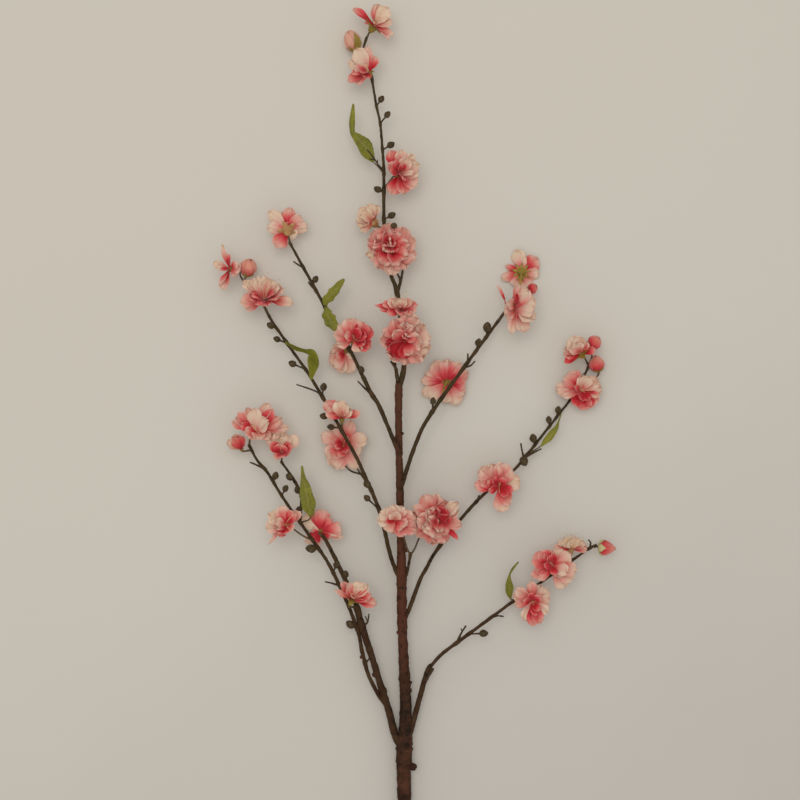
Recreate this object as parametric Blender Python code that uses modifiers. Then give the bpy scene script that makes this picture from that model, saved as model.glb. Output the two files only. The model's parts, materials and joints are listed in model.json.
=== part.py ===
"""Cherry blossom sprig, cut and laid down: stem along +Y, tips away from the cut end, +Z up.

Everything is placed in millimetres on a plan of the spray seen from above. Its y = 0 line is
60 mm above the cut end, and its x = 0 line runs near the stem. SHIFT then moves the whole spray
so that the frame's origin is under the middle of its box, on the surface it rests on.
"""

import math
import random

import bmesh
import bpy
from mathutils import Matrix, Vector

MM = 0.001

# Driving dimensions, in millimetres.
PLAN_MIDDLE = (12.9, 327.5)
BLADE = 0.7  # thickness of a petal or a leaf
SEAT_GAP = 0.3  # between a stalk's end and the flower or leaf it carries
CALYX_FOOT = 1.3  # radius where the calyx meets its stalk
CALYX_RIM = 2.9
CALYX_LENGTH = 6.0
HEART = 3.2  # how far the green heart stands above the foot of the petals
STALK = 0.8  # radius of a flower stalk
TABLE = 0.36  # lowest height of the middle of a blade, so that its skin lies on the surface

WOOD = ("wood_dark_brown", (0.115, 0.062, 0.038), 0.75)
PETAL = ("petal_pink", (0.72, 0.30, 0.28), 0.6)
BUD = ("bud_rose", (0.55, 0.07, 0.09), 0.6)
LEAF = ("leaf_olive_green", (0.20, 0.21, 0.03), 0.6)

# Stem and limbs: points (x, y, z, radius) along the middle of the wood.
LIMBS = {
    "stem": (
        (6, -60, 6.6, 6.6), (1, 60, 9.5, 6.2), (5, 90, 11, 5.2), (2, 160, 15, 4.4),
        (1.3, 207, 18, 4.8), (-2, 324, 24, 3.2), (-2, 360, 25, 3.5), (-1, 377, 25.5, 3),
    ),
    "top": (
        (-1, 370, 25.5, 2.6), (2.7, 384, 25.5, 2.4), (4, 400, 25, 2.2), (2, 423, 23.5, 2.1),
        (-3, 458, 22, 2), (-7.6, 471, 20, 1.8), (-12, 492, 16.5, 1.7), (-14.4, 517, 16, 1.6),
        (-14.6, 566, 20, 1.3), (-16.2, 591, 20, 1.2), (-18, 610, 19, 1.15), (-21.6, 627, 17, 1.1),
        (-26, 654, 10.5, 1.05), (-30, 667, 7.5, 1), (-33, 679, 8.5, 1), (-30, 689, 12.5, 0.95),
    ),
    "limb_a": (
        (-1, 312, 23, 2), (-17, 353, 24, 1.9), (-46, 408, 20, 1.6), (-57, 425, 19, 1.5),
        (-99.5, 502, 21.5, 1.1),
    ),
    "limb_b": (
        (1, 195, 17.5, 2), (-8.6, 220, 19, 1.9), (-18, 259, 22, 1.75), (-33, 295, 24.5, 1.7),
        (-43, 316, 24.5, 1.6), (-77, 375, 20, 1.45), (-96, 403, 18, 1.35), (-115, 430, 13.5, 1.2),
        (-124, 446, 8, 1.1), (-133, 461, 5.5, 1.05), (-138.5, 469, 9, 1),
    ),
    "limb_c": (
        (1, 46, 9.5, 3.6), (-25, 127, 15, 2.3), (-39, 175, 16, 2), (-54, 208, 18.5, 2),
        (-66, 233, 23, 1.6), (-70, 239, 25.5, 1.3),
    ),
    "limb_c_left": (
        (-11, 83, 12, 2), (-18, 93, 13, 1.9), (-27.5, 112.5, 15, 1.8), (-40, 157.5, 16.5, 1.7),
        (-61, 206.5, 20, 1.6), (-79, 235, 23.5, 1.5), (-104, 270, 20, 1.3), (-119, 294, 18.5, 1.3),
        (-129, 306, 17.5, 1.2), (-136.5, 320, 17.5, 1),
    ),
    "limb_c_mid": (
        (-90, 250, 22, 1.4), (-89, 273, 19, 1.35), (-96, 288.5, 18, 1.3), (-107.6, 305, 17, 1),
    ),
    "limb_d": (
        (0, 280, 22, 2), (12.6, 318.6, 24, 1.85), (25, 345, 25, 1.8), (61, 394, 20.5, 1.6),
        (93, 437, 10.5, 1.2), (103, 452, 9, 1), (109, 463, 10, 0.95),
    ),
    "limb_e": (
        (1, 158, 15, 1.9), (23.4, 209, 14.5, 1.7), (31.5, 222, 14, 1.65), (54, 251, 14, 1.45),
        (75.6, 274.5, 14, 1.4), (102, 296, 14, 1.3), (111, 305.5, 13.5, 1.3),
        (132, 331.5, 10, 1.15), (157, 362, 1.9, 1),
    ),
    "limb_e_tip": (
        (155, 360, 2.2, 1), (168.5, 383, 1.8, 0.95), (172, 391, 5, 0.9),
    ),
    "limb_f": (
        (2, 48, 9.5, 2.9), (9, 58.5, 10.5, 2.8), (24, 112.5, 14, 2.2), (29.7, 121.5, 15, 1.7),
        (39.6, 132, 16, 1.6), (61, 150, 18, 1.5), (104, 181, 13, 1.3), (118, 189, 12.5, 1.3),
        (171, 226, 17, 1), (177, 227.5, 17, 1),
    ),
    "limb_g": (
        (1, 194, 18, 1.4), (6, 203, 19, 1.3), (9.6, 223, 22, 1.1),
    ),
}

# Flowers: centre, facing, radius, petals, turn in degrees, then the limb, the height along it
# where the stalk leaves, and points on the way. low and high bound the petals' heights.
FLOWERS = {
    "flower_01": dict(at=(-23.5, 697, 18), to=(0.55, 0.6, 0.55), r=20, kind="side", turn=15,
                      limb="top", y=687),
    "flower_03": dict(at=(-29, 660, 21.5), to=(-0.4, 0.4, 0.82), r=17.5, kind="open", turn=0,
                      limb="top", y=650, low=11),
    "flower_06": dict(at=(-0.5, 562.5, 24), to=(0.68, 0.15, 0.72), r=21.5, kind="full", turn=20,
                      limb="top", y=550),
    "flower_07": dict(at=(-25, 520.5, 20), to=(-0.6, 0.45, 0.66), r=17, kind="side", turn=0,
                      limb="top", y=514),
    "flower_08": dict(at=(-8, 495, 25.5), to=(0.05, 0.05, 1), r=23.5, kind="double", turn=10,
                      limb="top", y=490, low=21),
    "flower_10": dict(at=(0, 440, 31), to=(0, 0.93, 0.36), r=20.5, kind="flat", turn=18,
                      limb="top", y=436, low=27),
    "flower_11": dict(at=(4.5, 412, 33), to=(0.28, 0.12, 0.95), r=24, kind="double", turn=0,
                      limb="top", y=408, low=28),
    "flower_12": dict(at=(-101, 512.5, 23), to=(-0.1, 0.45, -0.89), r=20.5, kind="back", turn=0,
                      limb="limb_a", y=500, by=((-99.5, 505, 27),)),
    "flower_13": dict(at=(-41, 414, 27), to=(0.15, 0.35, 0.9), r=18, kind="open", turn=40,
                      limb="limb_a", y=405, low=22.5),
    "flower_13_low": dict(at=(-50, 402, 9.5), to=(-0.3, -0.3, 0.9), r=16, kind="back", turn=20,
                          limb="limb_a", y=432, by=((-58, 420, 7), (-50, 410, 2)), high=17),
    "flower_14": dict(at=(-121.5, 450, 24), to=(0.1, 0.8, 0.6), r=24, kind="full", turn=10,
                      limb="limb_b", y=436, by=((-120.5, 440, 16),), low=11),
    "flower_15": dict(at=(-153, 478, 19), to=(-0.9, 0.1, 0.4), r=20, kind="side", turn=36,
                      limb="limb_b", y=463, by=((-143.5, 470, 9),)),
    "flower_17": dict(at=(-52, 344, 28), to=(0, 0.85, 0.5), r=17, kind="side", turn=10,
                      limb="limb_b", y=331, low=25),
    "flower_18": dict(at=(-51, 320, 9.5), to=(0, 0.1, 1), r=21.5, kind="open", turn=25,
                      limb="limb_b", y=284, by=((-38, 296, 6), (-47, 312, 0.83)), high=20),
    "flower_19": dict(at=(-130, 337.5, 25), to=(0.1, 0.62, 0.78), r=24.5, kind="full", turn=60,
                      limb="limb_c_left", y=319, by=((-134.5, 326, 19.5),)),
    "flower_21": dict(at=(-108, 315, 23), to=(0.05, 0.65, 0.76), r=16, kind="side", turn=0,
                      limb="limb_c_mid", y=304),
    "flower_22": dict(at=(-102, 249, 31), to=(-0.45, 0.3, 0.84), r=19, kind="open", turn=20,
                      limb="limb_c_left", y=234, by=((-88, 239, 25.5),), low=19),
    "flower_23": dict(at=(-71.5, 242, 19), to=(0.1, 0.2, -0.97), r=18, kind="back", turn=50,
                      limb="limb_c", y=238),
    "flower_24": dict(at=(-42.5, 181.5, 28), to=(0.38, 0.84, 0.38), r=18, kind="flat", turn=30,
                      limb="limb_c", y=173, low=21),
    "flower_25": dict(at=(42.5, 376, 7.5), to=(0, 0, -1), r=22, kind="fringe", turn=12,
                      limb="limb_d", y=362, by=((40, 372, 18),)),
    "flower_26": dict(at=(103.5, 442, 28), to=(0.62, 0, 0.78), r=22, kind="full", turn=8,
                      limb="limb_d", y=431, by=((93, 438.5, 20),), low=13),
    "flower_27": dict(at=(110.5, 476.5, 4.8), to=(0.05, 0.12, -0.99), r=19, kind="back", turn=80,
                      limb="limb_d", y=462),
    "flower_28": dict(at=(164.5, 368.5, 9.5), to=(0.1, 0.3, 0.95), r=21, kind="open", turn=-24,
                      limb="limb_e", y=361, by=((161, 364, 1.3),)),
    "flower_29": dict(at=(163, 402, 17.5), to=(-0.55, 0.5, 0.67), r=17, kind="side", turn=36,
                      limb="limb_e_tip", y=391),
    "flower_30": dict(at=(89, 282.5, 22.5), to=(0, 0, 1), r=23, kind="open", turn=0,
                      limb="limb_e", y=280, low=17, angles=(12, 70, 125, 180, 270),
                      reach=(0.84, 0.98, 1.05, 0.95, 1.02)),
    "flower_31": dict(at=(33, 252, 28.5), to=(0.1, 0.15, 0.98), r=24, kind="double", turn=30,
                      limb="limb_g", y=221, by=((13, 226, 22), (19, 239, 20.5), (29, 248, 19.8))),
    "flower_32": dict(at=(-4, 253, 34), to=(-0.3, 0.35, 0.88), r=15, kind="open", turn=0,
                      limb="limb_g", y=221, by=((6.3, 227, 24.5), (3.2, 238, 26.2)), low=26),
    "flower_33": dict(at=(137, 212, 26), to=(0.05, -0.1, 0.99), r=20.5, kind="open", turn=50,
                      limb="limb_f", y=203, low=18.5),
    "flower_34": dict(at=(155.5, 228.5, 13), to=(0.1, 0.93, 0.1), r=14, kind="flat", turn=0,
                      limb="limb_f", y=216, high=24),
    "flower_35": dict(at=(119, 179, 20.5), to=(0.15, -0.28, 0.95), r=18.5, kind="open", turn=35,
                      limb="limb_f", y=184, low=15.5),
}

# Petals of each kind of flower, one row for each ring: how many, lean from the flower's axis at
# the foot and at the tip in degrees, length and half width as shares of the radius, fullness,
# turn in steps, height of the foot in millimetres.
RINGS = {
    "open": ((5, 70, 84, 1.0, 0.42, 3, 0, 0), (4, 38, 58, 0.76, 0.32, 2, 0.5, 1.5)),
    "double": (
        (5, 76, 88, 1.0, 0.44, 3, 0, 0),
        (5, 52, 70, 0.84, 0.33, 3, 0.5, 1.4),
        (3, 20, 38, 0.6, 0.26, 2, 0.25, 2.4),
    ),
    "side": ((5, 60, 78, 1.0, 0.42, 3, 0, 0), (3, 28, 44, 0.8, 0.32, 2, 0.5, 1.4)),
    "full": ((6, 62, 80, 1.0, 0.37, 3, 0, 0), (4, 34, 50, 0.8, 0.30, 2, 0.5, 1.5)),
    "flat": ((5, 62, 80, 1.0, 0.42, 3, 0, 0), (3, 40, 54, 0.62, 0.34, 2, 0.5, 1.4)),
    "fringe": ((8, 72, 80, 1.0, 0.27, 3, 0, 0), (3, 30, 50, 0.6, 0.28, 2, 0.5, 1.4)),
    "back": ((5, 72, 80, 1.0, 0.46, 3, 0, 0), (3, 30, 50, 0.6, 0.28, 2, 0.5, 1.4)),
    "half": ((4, 26, 46, 1.0, 0.3, 3, 0, 0), (2, 4, 14, 0.8, 0.24, 2, 0.5, 1.0)),
}

# Coloured buds: foot, direction, length, radius, kind, limb and height where the stalk leaves.
BUDS = {
    "bud_02": dict(at=(-39, 676.5, 11), to=(-0.5, 0.85, 0.2), r=21, kind="egg", wide=6.8,
                   limb="top", y=676),
    "bud_16": dict(at=(-139.5, 471.5, 14), to=(0.3, 0.9, 0.25), r=17, kind="egg", wide=6.5,
                   limb="limb_b", y=467),
    "bud_20": dict(at=(-143, 315.5, 17), to=(-0.5, 0.85, 0.2), r=15.5, kind="half", turn=0,
                   limb="limb_c_left", y=315),
    "bud_27": dict(at=(116, 459, 12.5), to=(0.6, 0.3, 0.4), r=8, kind="egg", wide=3.8,
                   limb="limb_d", y=452),
    "bud_29_left": dict(at=(171.5, 407, 16), to=(0.6, 0.75, 0.2), r=11.5, kind="egg", wide=5.2,
                        limb="limb_e_tip", y=391, by=((174, 400, 11),)),
    "bud_29_right": dict(at=(180, 385.5, 9), to=(-0.2, 0.95, 0.25), r=15, kind="egg", wide=6.3,
                         limb="limb_e_tip", y=381, by=((177, 380, 4),)),
    "bud_36": dict(at=(179, 227.5, 17), to=(0.97, -0.1, 0.1), r=15.5, kind="egg", wide=6.5,
                   limb="limb_f", y=227),
}

# Small dark buds on the wood: limb, height along it, then the tip's offset from there.
DARK_BUDS = (
    ("top", 625, (4.5, 5, 2), 1), ("top", 609, (6, 7, 2), 1), ("top", 585, (8.5, 5, 2), 1.1),
    ("top", 547, (-8.5, 4, 2), 1.1), ("top", 523, (10, 5, 2), 1.1), ("top", 512, (9, 4, 2), 1),
    ("limb_a", 464, (4, 7, 2), 1), ("limb_a", 379, (-3, 11, 3), 1),
    ("limb_b", 363, (2, 12, 2), 1.1), ("limb_b", 344, (-12.5, 2, 1), 1.1),
    ("limb_b", 335, (-11, 1, 1), 1), ("limb_b", 424, (-9, 5, 1), 1.1),
    ("limb_b", 411, (-12, 5, 1), 1), ("limb_b", 388, (-14, 6, 1), 1.1),
    ("limb_b", 262, (-12.5, 12, 1), 1), ("limb_b", 279, (-5, 9, 1), 1.2),
    ("limb_c_mid", 286, (-7, 7, 2), 1.1), ("limb_c_mid", 274, (-4, 8, 2), 1.1),
    ("limb_c_left", 205, (5, 10, 2), 1.1), ("limb_c", 195, (-1, 11, 2), 1),
    ("limb_c_left", 286, (3, 9, 2), 1.1), ("limb_c_left", 274, (5, 9, 2), 1),
    ("limb_c_left", 257, (6, 7, 2), 1), ("limb_c_left", 226, (-11, 1, 1), 1.4),
    ("limb_c_left", 153, (-9, 7, 1), 1.3),
    ("limb_d", 349, (1, 13, 2), 1), ("limb_d", 404, (3, 11, 2), 1.1),
    ("limb_d", 417, (1, 13, 2), 1.4), ("limb_e", 306, (2, -5, 3), 1.4),
    ("limb_e", 319, (-2, 10, 2), 1.2), ("limb_e", 336, (-1, 9, 2), 1),
    ("limb_e", 344, (2, 10, 2), 1), ("limb_f", 149, (17, 1, 1), 1.2),
    ("limb_f", 186, (9, 7, 1), 0.9),
)

# Bare twigs, thorns and broken ends: limb, height along it, offsets of the points after it.
TWIGS = (
    ("stem", 371, ((-2, 13, 0), (-3, 20, 0.5), (-7, 24, 1))),
    ("stem", 385, ((0, 6, 0.5), (3, 10, 1))),
    ("top", 456, ((3, 11, 1), (5.5, 23, 1))),
    ("top", 467, ((7, 5, 0.5),)),
    ("top", 650, ((-5, 6, -1),)),
    ("limb_a", 479, ((-6, 4, 1), (-9, 10, 1))),
    ("limb_a", 459, ((2, 7, 1),)),
    ("limb_a", 363, ((-9, 9, 1), (-14, 14, 1))),
    ("limb_b", 363, ((-6, 5, 1), (-23, 11, 1))),
    ("limb_b", 293, ((-11, 3, 1), (-17, 8, 1))),
    ("limb_c_left", 193, ((-6, 2, 0.5), (-12.5, 3.5, 1))),
    ("limb_c_left", 298, ((-8, 4, 1), (-13, 6, 1))),
    ("limb_c_left", 167, ((9, 2, 1), (14, 1, 1))),
    ("limb_c_left", 122, ((4, 5, 0.5),)),
    ("limb_c", 90, ((2, 7, 0.5),)),
    ("limb_d", 394, ((0, 8, 1),)),
    ("limb_d", 389, ((6, 2, 1), (10, 6, 1))),
    ("limb_e", 307, ((-2, 8, 1), (-3, 14, 1))),
    ("limb_e", 268, ((2, 6, 1),)),
    ("limb_e", 308, ((9, 5, 1), (15, 8, 1))),
    ("limb_e", 228, ((-3, 5, 0.5),)),
    ("limb_f", 141, ((3, 6, 0), (6.5, 16, 1))),
    ("limb_f", 163, ((6, 2, 0), (12, 1.5, 0))),
    ("limb_f", 182, ((4, 2, 0), (8, 0, 0))),
    ("limb_f", 206, ((-1, 5, 0),)),
    ("limb_f", 226, ((1, 5, 0), (-1, 8, 1))),
)

# Leaves: foot, points (x, y, z, half width) along the midrib, then limb and height of the stalk.
LEAVES = {
    "leaf_top": dict(limb="top", y=564, by=((-19, 569, 21),), rib=(
        (-24, 574, 21.5, 1.2), (-27.5, 580, 23, 5.0), (-32, 588, 24, 6.2), (-38, 595, 24, 4.2),
        (-42.5, 600, 23, 2.2), (-43, 609, 22.5, 2.6), (-42.5, 618, 21, 2.0),
        (-42, 626.5, 20, 0.8))),
    "leaf_a": dict(limb="limb_a", y=447, by=(), rib=(
        (-66.5, 450, 24, 1.3), (-65, 455, 25.5, 4.4), (-60, 461, 27, 4.8), (-55, 466.5, 26, 3.2),
        (-50, 471, 24, 0.9))),
    "leaf_a_low": dict(limb="limb_a", y=444, by=(), rib=(
        (-65, 442.5, 24, 1.4), (-64.5, 437, 25.5, 5.6), (-62, 431, 27, 6.2),
        (-58.5, 425.5, 27.5, 3.8), (-57, 422, 27.5, 1.0))),
    "leaf_b": dict(limb="limb_b", y=413, by=(), rib=(
        (-103, 412, 19.5, 0.9), (-94, 406.5, 22, 2.2), (-85.5, 404, 24, 2.0), (-79, 401.5, 25, 3.6),
        (-78, 393, 24.5, 5.4), (-79.5, 385, 23, 3.6), (-80.5, 378.5, 22, 0.9))),
    "leaf_c": dict(limb="limb_c_left", y=250, by=((-82, 252.5, 25),), rib=(
        (-79.5, 256, 26.5, 1.6), (-81, 264, 27.5, 5.6), (-83, 272.5, 27.5, 6.0),
        (-85, 283, 26.5, 4.4), (-86.8, 291, 25, 2.2), (-88, 301, 23.5, 0.8))),
    "leaf_e": dict(limb="limb_e", y=311, by=((124, 316, 14.5),), rib=(
        (127.5, 318.5, 15.5, 1.0), (131, 324, 17, 3.0), (136, 331, 18, 3.6),
        (140.5, 337, 17.5, 2.4), (143.5, 341, 17, 0.8))),
    "leaf_f": dict(limb="limb_f", y=178, by=(), rib=(
        (99.5, 181, 17.5, 1.2), (98.5, 187, 20, 3.6), (98.5, 194.5, 22, 4.4),
        (100.5, 203, 23, 2.6), (104.5, 210.5, 22.5, 1.4), (107, 214, 22, 0.7))),
    "petal_loose": dict(limb="limb_d", y=443, by=(), rib=(
        (94.5, 451, 14, 1.0), (92.5, 455, 17, 2.0), (90, 459.5, 19.5, 1.8), (87.5, 463, 21, 0.7))),
}


def clear_scene():
    for old in list(bpy.data.objects):
        bpy.data.objects.remove(old)


def to_metres(point):
    """A point on the plan, in metres in the frame."""
    x, y, z = point
    return Vector(((x - PLAN_MIDDLE[0]) * MM, (y - PLAN_MIDDLE[1]) * MM, z * MM))


def material(spec):
    name, colour, roughness = spec
    found = bpy.data.materials.get(name)
    if found:
        return found
    made = bpy.data.materials.new(name)
    made.use_nodes = True
    shader = made.node_tree.nodes["Principled BSDF"]
    shader.inputs["Base Color"].default_value = (*colour, 1)
    shader.inputs["Roughness"].default_value = roughness
    return made


def link(obj, collection=None):
    (collection or bpy.context.scene.collection).objects.link(obj)
    return obj


def join_all(body, collection):
    """One union of the body with every object of the collection, which goes away after it."""
    union = body.modifiers.new("union", "BOOLEAN")
    union.operation = "UNION"
    union.operand_type = "COLLECTION"
    union.collection = collection
    union.solver = "MANIFOLD"
    bpy.context.view_layer.objects.active = body
    bpy.ops.object.modifier_apply(modifier="union")
    for part in list(collection.objects):
        bpy.data.objects.remove(part)
    bpy.data.collections.remove(collection)
    keep_largest(body)
    return body


def keep_largest(body):
    """Fills hollows sealed by a union and drops loose scraps: only the largest shell stays."""
    work = bmesh.new()
    work.from_mesh(body.data)
    shells = []
    waiting = set(work.verts)
    while waiting:
        shell = {waiting.pop()}
        front = list(shell)
        while front:
            point = front.pop()
            near = {edge.other_vert(point) for edge in point.link_edges} - shell
            shell |= near
            front.extend(near)
        waiting -= shell
        shells.append(shell)
    largest = max(shells, key=len)
    bmesh.ops.delete(work, geom=[v for v in work.verts if v not in largest], context="VERTS")
    work.to_mesh(body.data)
    work.free()


def new_collection(name):
    made = bpy.data.collections.new(name)
    bpy.context.scene.collection.children.link(made)
    return made


def rod(name, points, sides, collection=None):
    """Wood through the points (x, y, z, radius), as a bevelled curve turned into a closed mesh."""
    curve = bpy.data.curves.new(name, "CURVE")
    curve.dimensions = "3D"
    curve.bevel_depth = 1
    curve.bevel_resolution = sides // 2 - 2
    curve.use_fill_caps = True
    curve.twist_mode = "MINIMUM"
    spline = curve.splines.new("POLY")
    spline.points.add(len(points) - 1)
    for knot, (x, y, z, radius) in zip(spline.points, points):
        knot.co = (*to_metres((x, y, z)), 1)
        knot.radius = radius * MM
    guide = link(bpy.data.objects.new(name + "_guide", curve))
    bpy.context.view_layer.update()
    graph = bpy.context.evaluated_depsgraph_get()
    mesh = bpy.data.meshes.new_from_object(guide.evaluated_get(graph))
    mesh.name = name
    bpy.data.objects.remove(guide)
    work = bmesh.new()
    work.from_mesh(mesh)
    bmesh.ops.remove_doubles(work, verts=work.verts, dist=0.00001)
    bmesh.ops.recalc_face_normals(work, faces=work.faces)
    work.to_mesh(mesh)
    work.free()
    return link(bpy.data.objects.new(name, mesh), collection)


def along(limb, y):
    """Point (x, y, z) in the middle of a limb at a height y on the plan."""
    points = LIMBS[limb]
    if y <= points[0][1]:
        return points[0][:3]
    for start, end in zip(points, points[1:]):
        if start[1] <= y <= end[1]:
            share = (y - start[1]) / (end[1] - start[1])
            return tuple(a + (b - a) * share for a, b in zip(start[:3], end[:3]))
    return points[-1][:3]


def offset(point, step, share=1.0):
    return tuple(a + b * share for a, b in zip(point, step))


def foot_of(spec):
    """The foot of a flower's calyx and its unit direction."""
    facing = Vector(spec["to"]).normalized()
    if spec.get("foot"):
        return Vector(spec["at"]), facing
    return Vector(spec["at"]) - facing * CALYX_LENGTH, facing


def stalk(name, spec, foot, facing, collection, lead=2.2):
    """A stalk from its limb to just short of the foot it carries, ending square to it."""
    end = foot - facing * SEAT_GAP
    points = [along(spec["limb"], spec["y"]), *spec.get("by", ()), end - facing * lead, end]
    radii = [STALK * 1.25] + [STALK] * (len(points) - 2) + [CALYX_FOOT]
    return rod(name, [(*p, r) for p, r in zip(points, radii)], 4, collection)


def build_wood():
    """Stem, limbs, twigs, stalks and small dark buds, grown together as one piece."""
    body = rod("wood", LIMBS["stem"], 8)
    extra = new_collection("wood_parts")
    for name, points in LIMBS.items():
        if name != "stem":
            rod(name, points, 6, extra)
    for i, (limb, y, tip, size) in enumerate(DARK_BUDS):
        root = along(limb, y)
        steps = ((0, 0.7), (0.4, 0.75), (0.74, 2.9), (1.08, 0.9))
        points = [(*offset(root, tip, share), radius * size) for share, radius in steps]
        rod(f"dark_bud_{i}", points, 4, extra)
    for i, (limb, y, steps) in enumerate(TWIGS):
        root = along(limb, y) if y < 380 or limb != "stem" else (-4.4, 391, 25.5)
        points = [(*root, 1.0)]
        for k, step in enumerate(steps):
            points.append((*offset(root, step), 0.85 - 0.2 * (k + 1) / len(steps)))
        rod(f"twig_{i}", points, 4, extra)
    for name, spec in (*FLOWERS.items(), *BUDS.items()):
        foot, facing = foot_of(spec)
        stalk(name + "_stalk", spec, foot, facing, extra)
    for name, spec in LEAVES.items():
        first, second = (Vector(p[:3]) for p in spec["rib"][:2])
        facing = (second - first).normalized()
        points = [along(spec["limb"], spec["y"]), *spec["by"], first - facing * SEAT_GAP * 2.5]
        rod(name + "_stalk", [(*p, 0.75) for p in points], 4, extra)
    join_all(body, extra)
    return finish(body, WOOD)


def finish(body, spec, smooth=False):
    body.data.materials.clear()
    body.data.materials.append(material(spec))
    for face in body.data.polygons:
        face.use_smooth = smooth
    return body


def petal_points(ring, radius, spread):
    """Places of a petal's grid of points by (across, row), before it is turned into its place."""
    lean_foot, lean_tip, length, half = ring[1], ring[2], ring[3] * radius, ring[4] * radius
    rows = ((0.05, 0.0), (0.56, 0.9), (0.9, 0.7))
    places = {}
    for row, (share, wide) in enumerate(rows):
        for across in (-1, 0, 1):
            reach = share + (0.1 if row == 2 and across == 0 else 0)
            lean = math.radians((lean_foot + (lean_tip - lean_foot) * reach) * spread)
            side = across * wide * half
            cup = 0.14 * length * abs(across) * reach * min(1, wide * 2) + 0.2 * side
            out = reach * length * math.sin(lean) - cup * math.cos(lean)
            up = reach * length * math.cos(lean) + cup * math.sin(lean) + ring[7]
            places[across, row] = Vector((side, out, up))
    return places


def add_petal(collection, frame, ring, radius, low, high):
    """One petal as a thin blade, closed or opened until it stays between its bounds."""
    columns = ring[5] - 1
    for spread in (1, 0.92, 1.06, 0.84, 1.12, 0.75, 1.18, 0.65, 1.25, 0.5, 0.35, 0.2):
        places = petal_points(ring, radius, spread)
        moved = {key: frame @ place for key, place in places.items()}
        heights = [place.z for place in moved.values()]
        if min(heights) >= low and max(heights) <= high:
            break
    work = bmesh.new()
    bmesh.ops.create_grid(work, x_segments=columns, y_segments=2, size=1)
    for point in work.verts:
        key = round(point.co.x), round(point.co.y) + 1
        x, y, z = moved[key]
        point.co = to_metres((x, y, min(max(z, low), high)))
    bmesh.ops.remove_doubles(work, verts=work.verts, dist=0.00001)
    bmesh.ops.triangulate(work, faces=work.faces, quad_method="FIXED")
    mesh = bpy.data.meshes.new("petal")
    work.to_mesh(mesh)
    work.free()
    petal = link(bpy.data.objects.new("petal", mesh), collection)
    skin = petal.modifiers.new("thickness", "SOLIDIFY")
    skin.thickness = BLADE * MM
    skin.offset = 0
    return petal


def direction_matrix(point, facing, turn):
    """Turns local Z to the facing and moves the local origin to the point, in plan units."""
    facing = Vector(facing).normalized()
    tilt = Vector((0, 0, 1)).rotation_difference(facing).to_matrix().to_4x4()
    return Matrix.Translation(point) @ tilt @ Matrix.Rotation(math.radians(turn), 4, "Z")


def cup_solid(name, foot_radius, rim_radius, bottom, top, frame):
    """A five-sided calyx along the flower's axis."""
    bpy.ops.mesh.primitive_cone_add(
        vertices=5, radius1=foot_radius, radius2=rim_radius, depth=top - bottom
    )
    made = bpy.context.object
    made.name = name
    for point in made.data.vertices:
        place = point.co + Vector((0, 0, (top + bottom) / 2))
        point.co = to_metres(frame @ place)
    return made


def build_flower(name, spec, spec_material):
    """A flower as one piece: calyx and heart with the rings of petals grown into them."""
    rng = random.Random(name)
    foot, facing = foot_of(spec)
    middle = foot + facing * CALYX_LENGTH
    frame = direction_matrix(middle, facing, spec["turn"])
    body = cup_solid(name, CALYX_FOOT, CALYX_RIM, -CALYX_LENGTH, HEART, frame)
    petals = new_collection(name + "_petals")
    low, high = spec.get("low", TABLE), spec.get("high", 1000)
    for ring in RINGS[spec["kind"]]:
        outer = ring[3] == 1.0
        angles = spec.get("angles") if outer else None
        for k in range(len(angles) if angles else ring[0]):
            azimuth = 2 * math.pi * (k + ring[6] + rng.uniform(-0.05, 0.05)) / ring[0]
            varied = list(ring)
            if angles:
                azimuth = math.radians(angles[k] - 90)
                varied[3] *= spec["reach"][k]
            turned = frame @ Matrix.Rotation(azimuth, 4, "Z")
            varied[1] += rng.uniform(-3, 3)
            varied[2] += rng.uniform(-5, 5)
            varied[3] *= rng.uniform(0.93, 1.03)
            varied[4] *= rng.uniform(0.92, 1.05)
            add_petal(petals, turned, varied, spec["r"], low, high)
    join_all(body, petals)
    return finish(body, spec_material)


def build_egg(name, spec):
    """A closed bud: an egg of furled petals in a small calyx."""
    facing = Vector(spec["to"]).normalized()
    foot = Vector(spec["at"])
    frame = direction_matrix(foot, facing, 0)
    length, wide = spec["r"], spec["wide"]
    bpy.ops.mesh.primitive_uv_sphere_add(segments=8, ring_count=6, radius=1)
    body = bpy.context.object
    body.name = name
    for point in body.data.vertices:
        place = point.co.copy()
        taper = 1 - 0.12 * place.z
        local = Vector((place.x * wide * taper, place.y * wide * taper, length * (place.z + 1) / 2))
        point.co = to_metres(frame @ local)
    cup = new_collection(name + "_cup")
    made = cup_solid(name + "_calyx", CALYX_FOOT, wide * 0.86, 0, length * 0.3, frame)
    for home in list(made.users_collection):
        home.objects.unlink(made)
    cup.objects.link(made)
    join_all(body, cup)
    return finish(body, BUD)


def build_leaf(name, spec):
    """A leaf as one thin blade, folded a little along its midrib."""
    rib = spec["rib"]
    work = bmesh.new()
    bmesh.ops.create_grid(work, x_segments=2, y_segments=len(rib) - 1, size=1)
    for point in work.verts:
        across = round(point.co.x)
        row = round((point.co.y + 1) / 2 * (len(rib) - 1))
        x, y, z, half = rib[row]
        before, after = rib[max(row - 1, 0)], rib[min(row + 1, len(rib) - 1)]
        run = Vector((after[0] - before[0], after[1] - before[1], 0)).normalized()
        side = Vector((run.y, -run.x, 0)) * half * across
        lift = 0.25 * half * abs(across)
        point.co = to_metres((x + side.x, y + side.y, z + lift))
    bmesh.ops.triangulate(work, faces=work.faces, quad_method="FIXED")
    mesh = bpy.data.meshes.new(name)
    work.to_mesh(mesh)
    work.free()
    body = link(bpy.data.objects.new(name, mesh))
    skin = body.modifiers.new("thickness", "SOLIDIFY")
    skin.thickness = BLADE * MM
    skin.offset = 0
    return finish(body, PETAL if name.startswith("petal") else LEAF)


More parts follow.
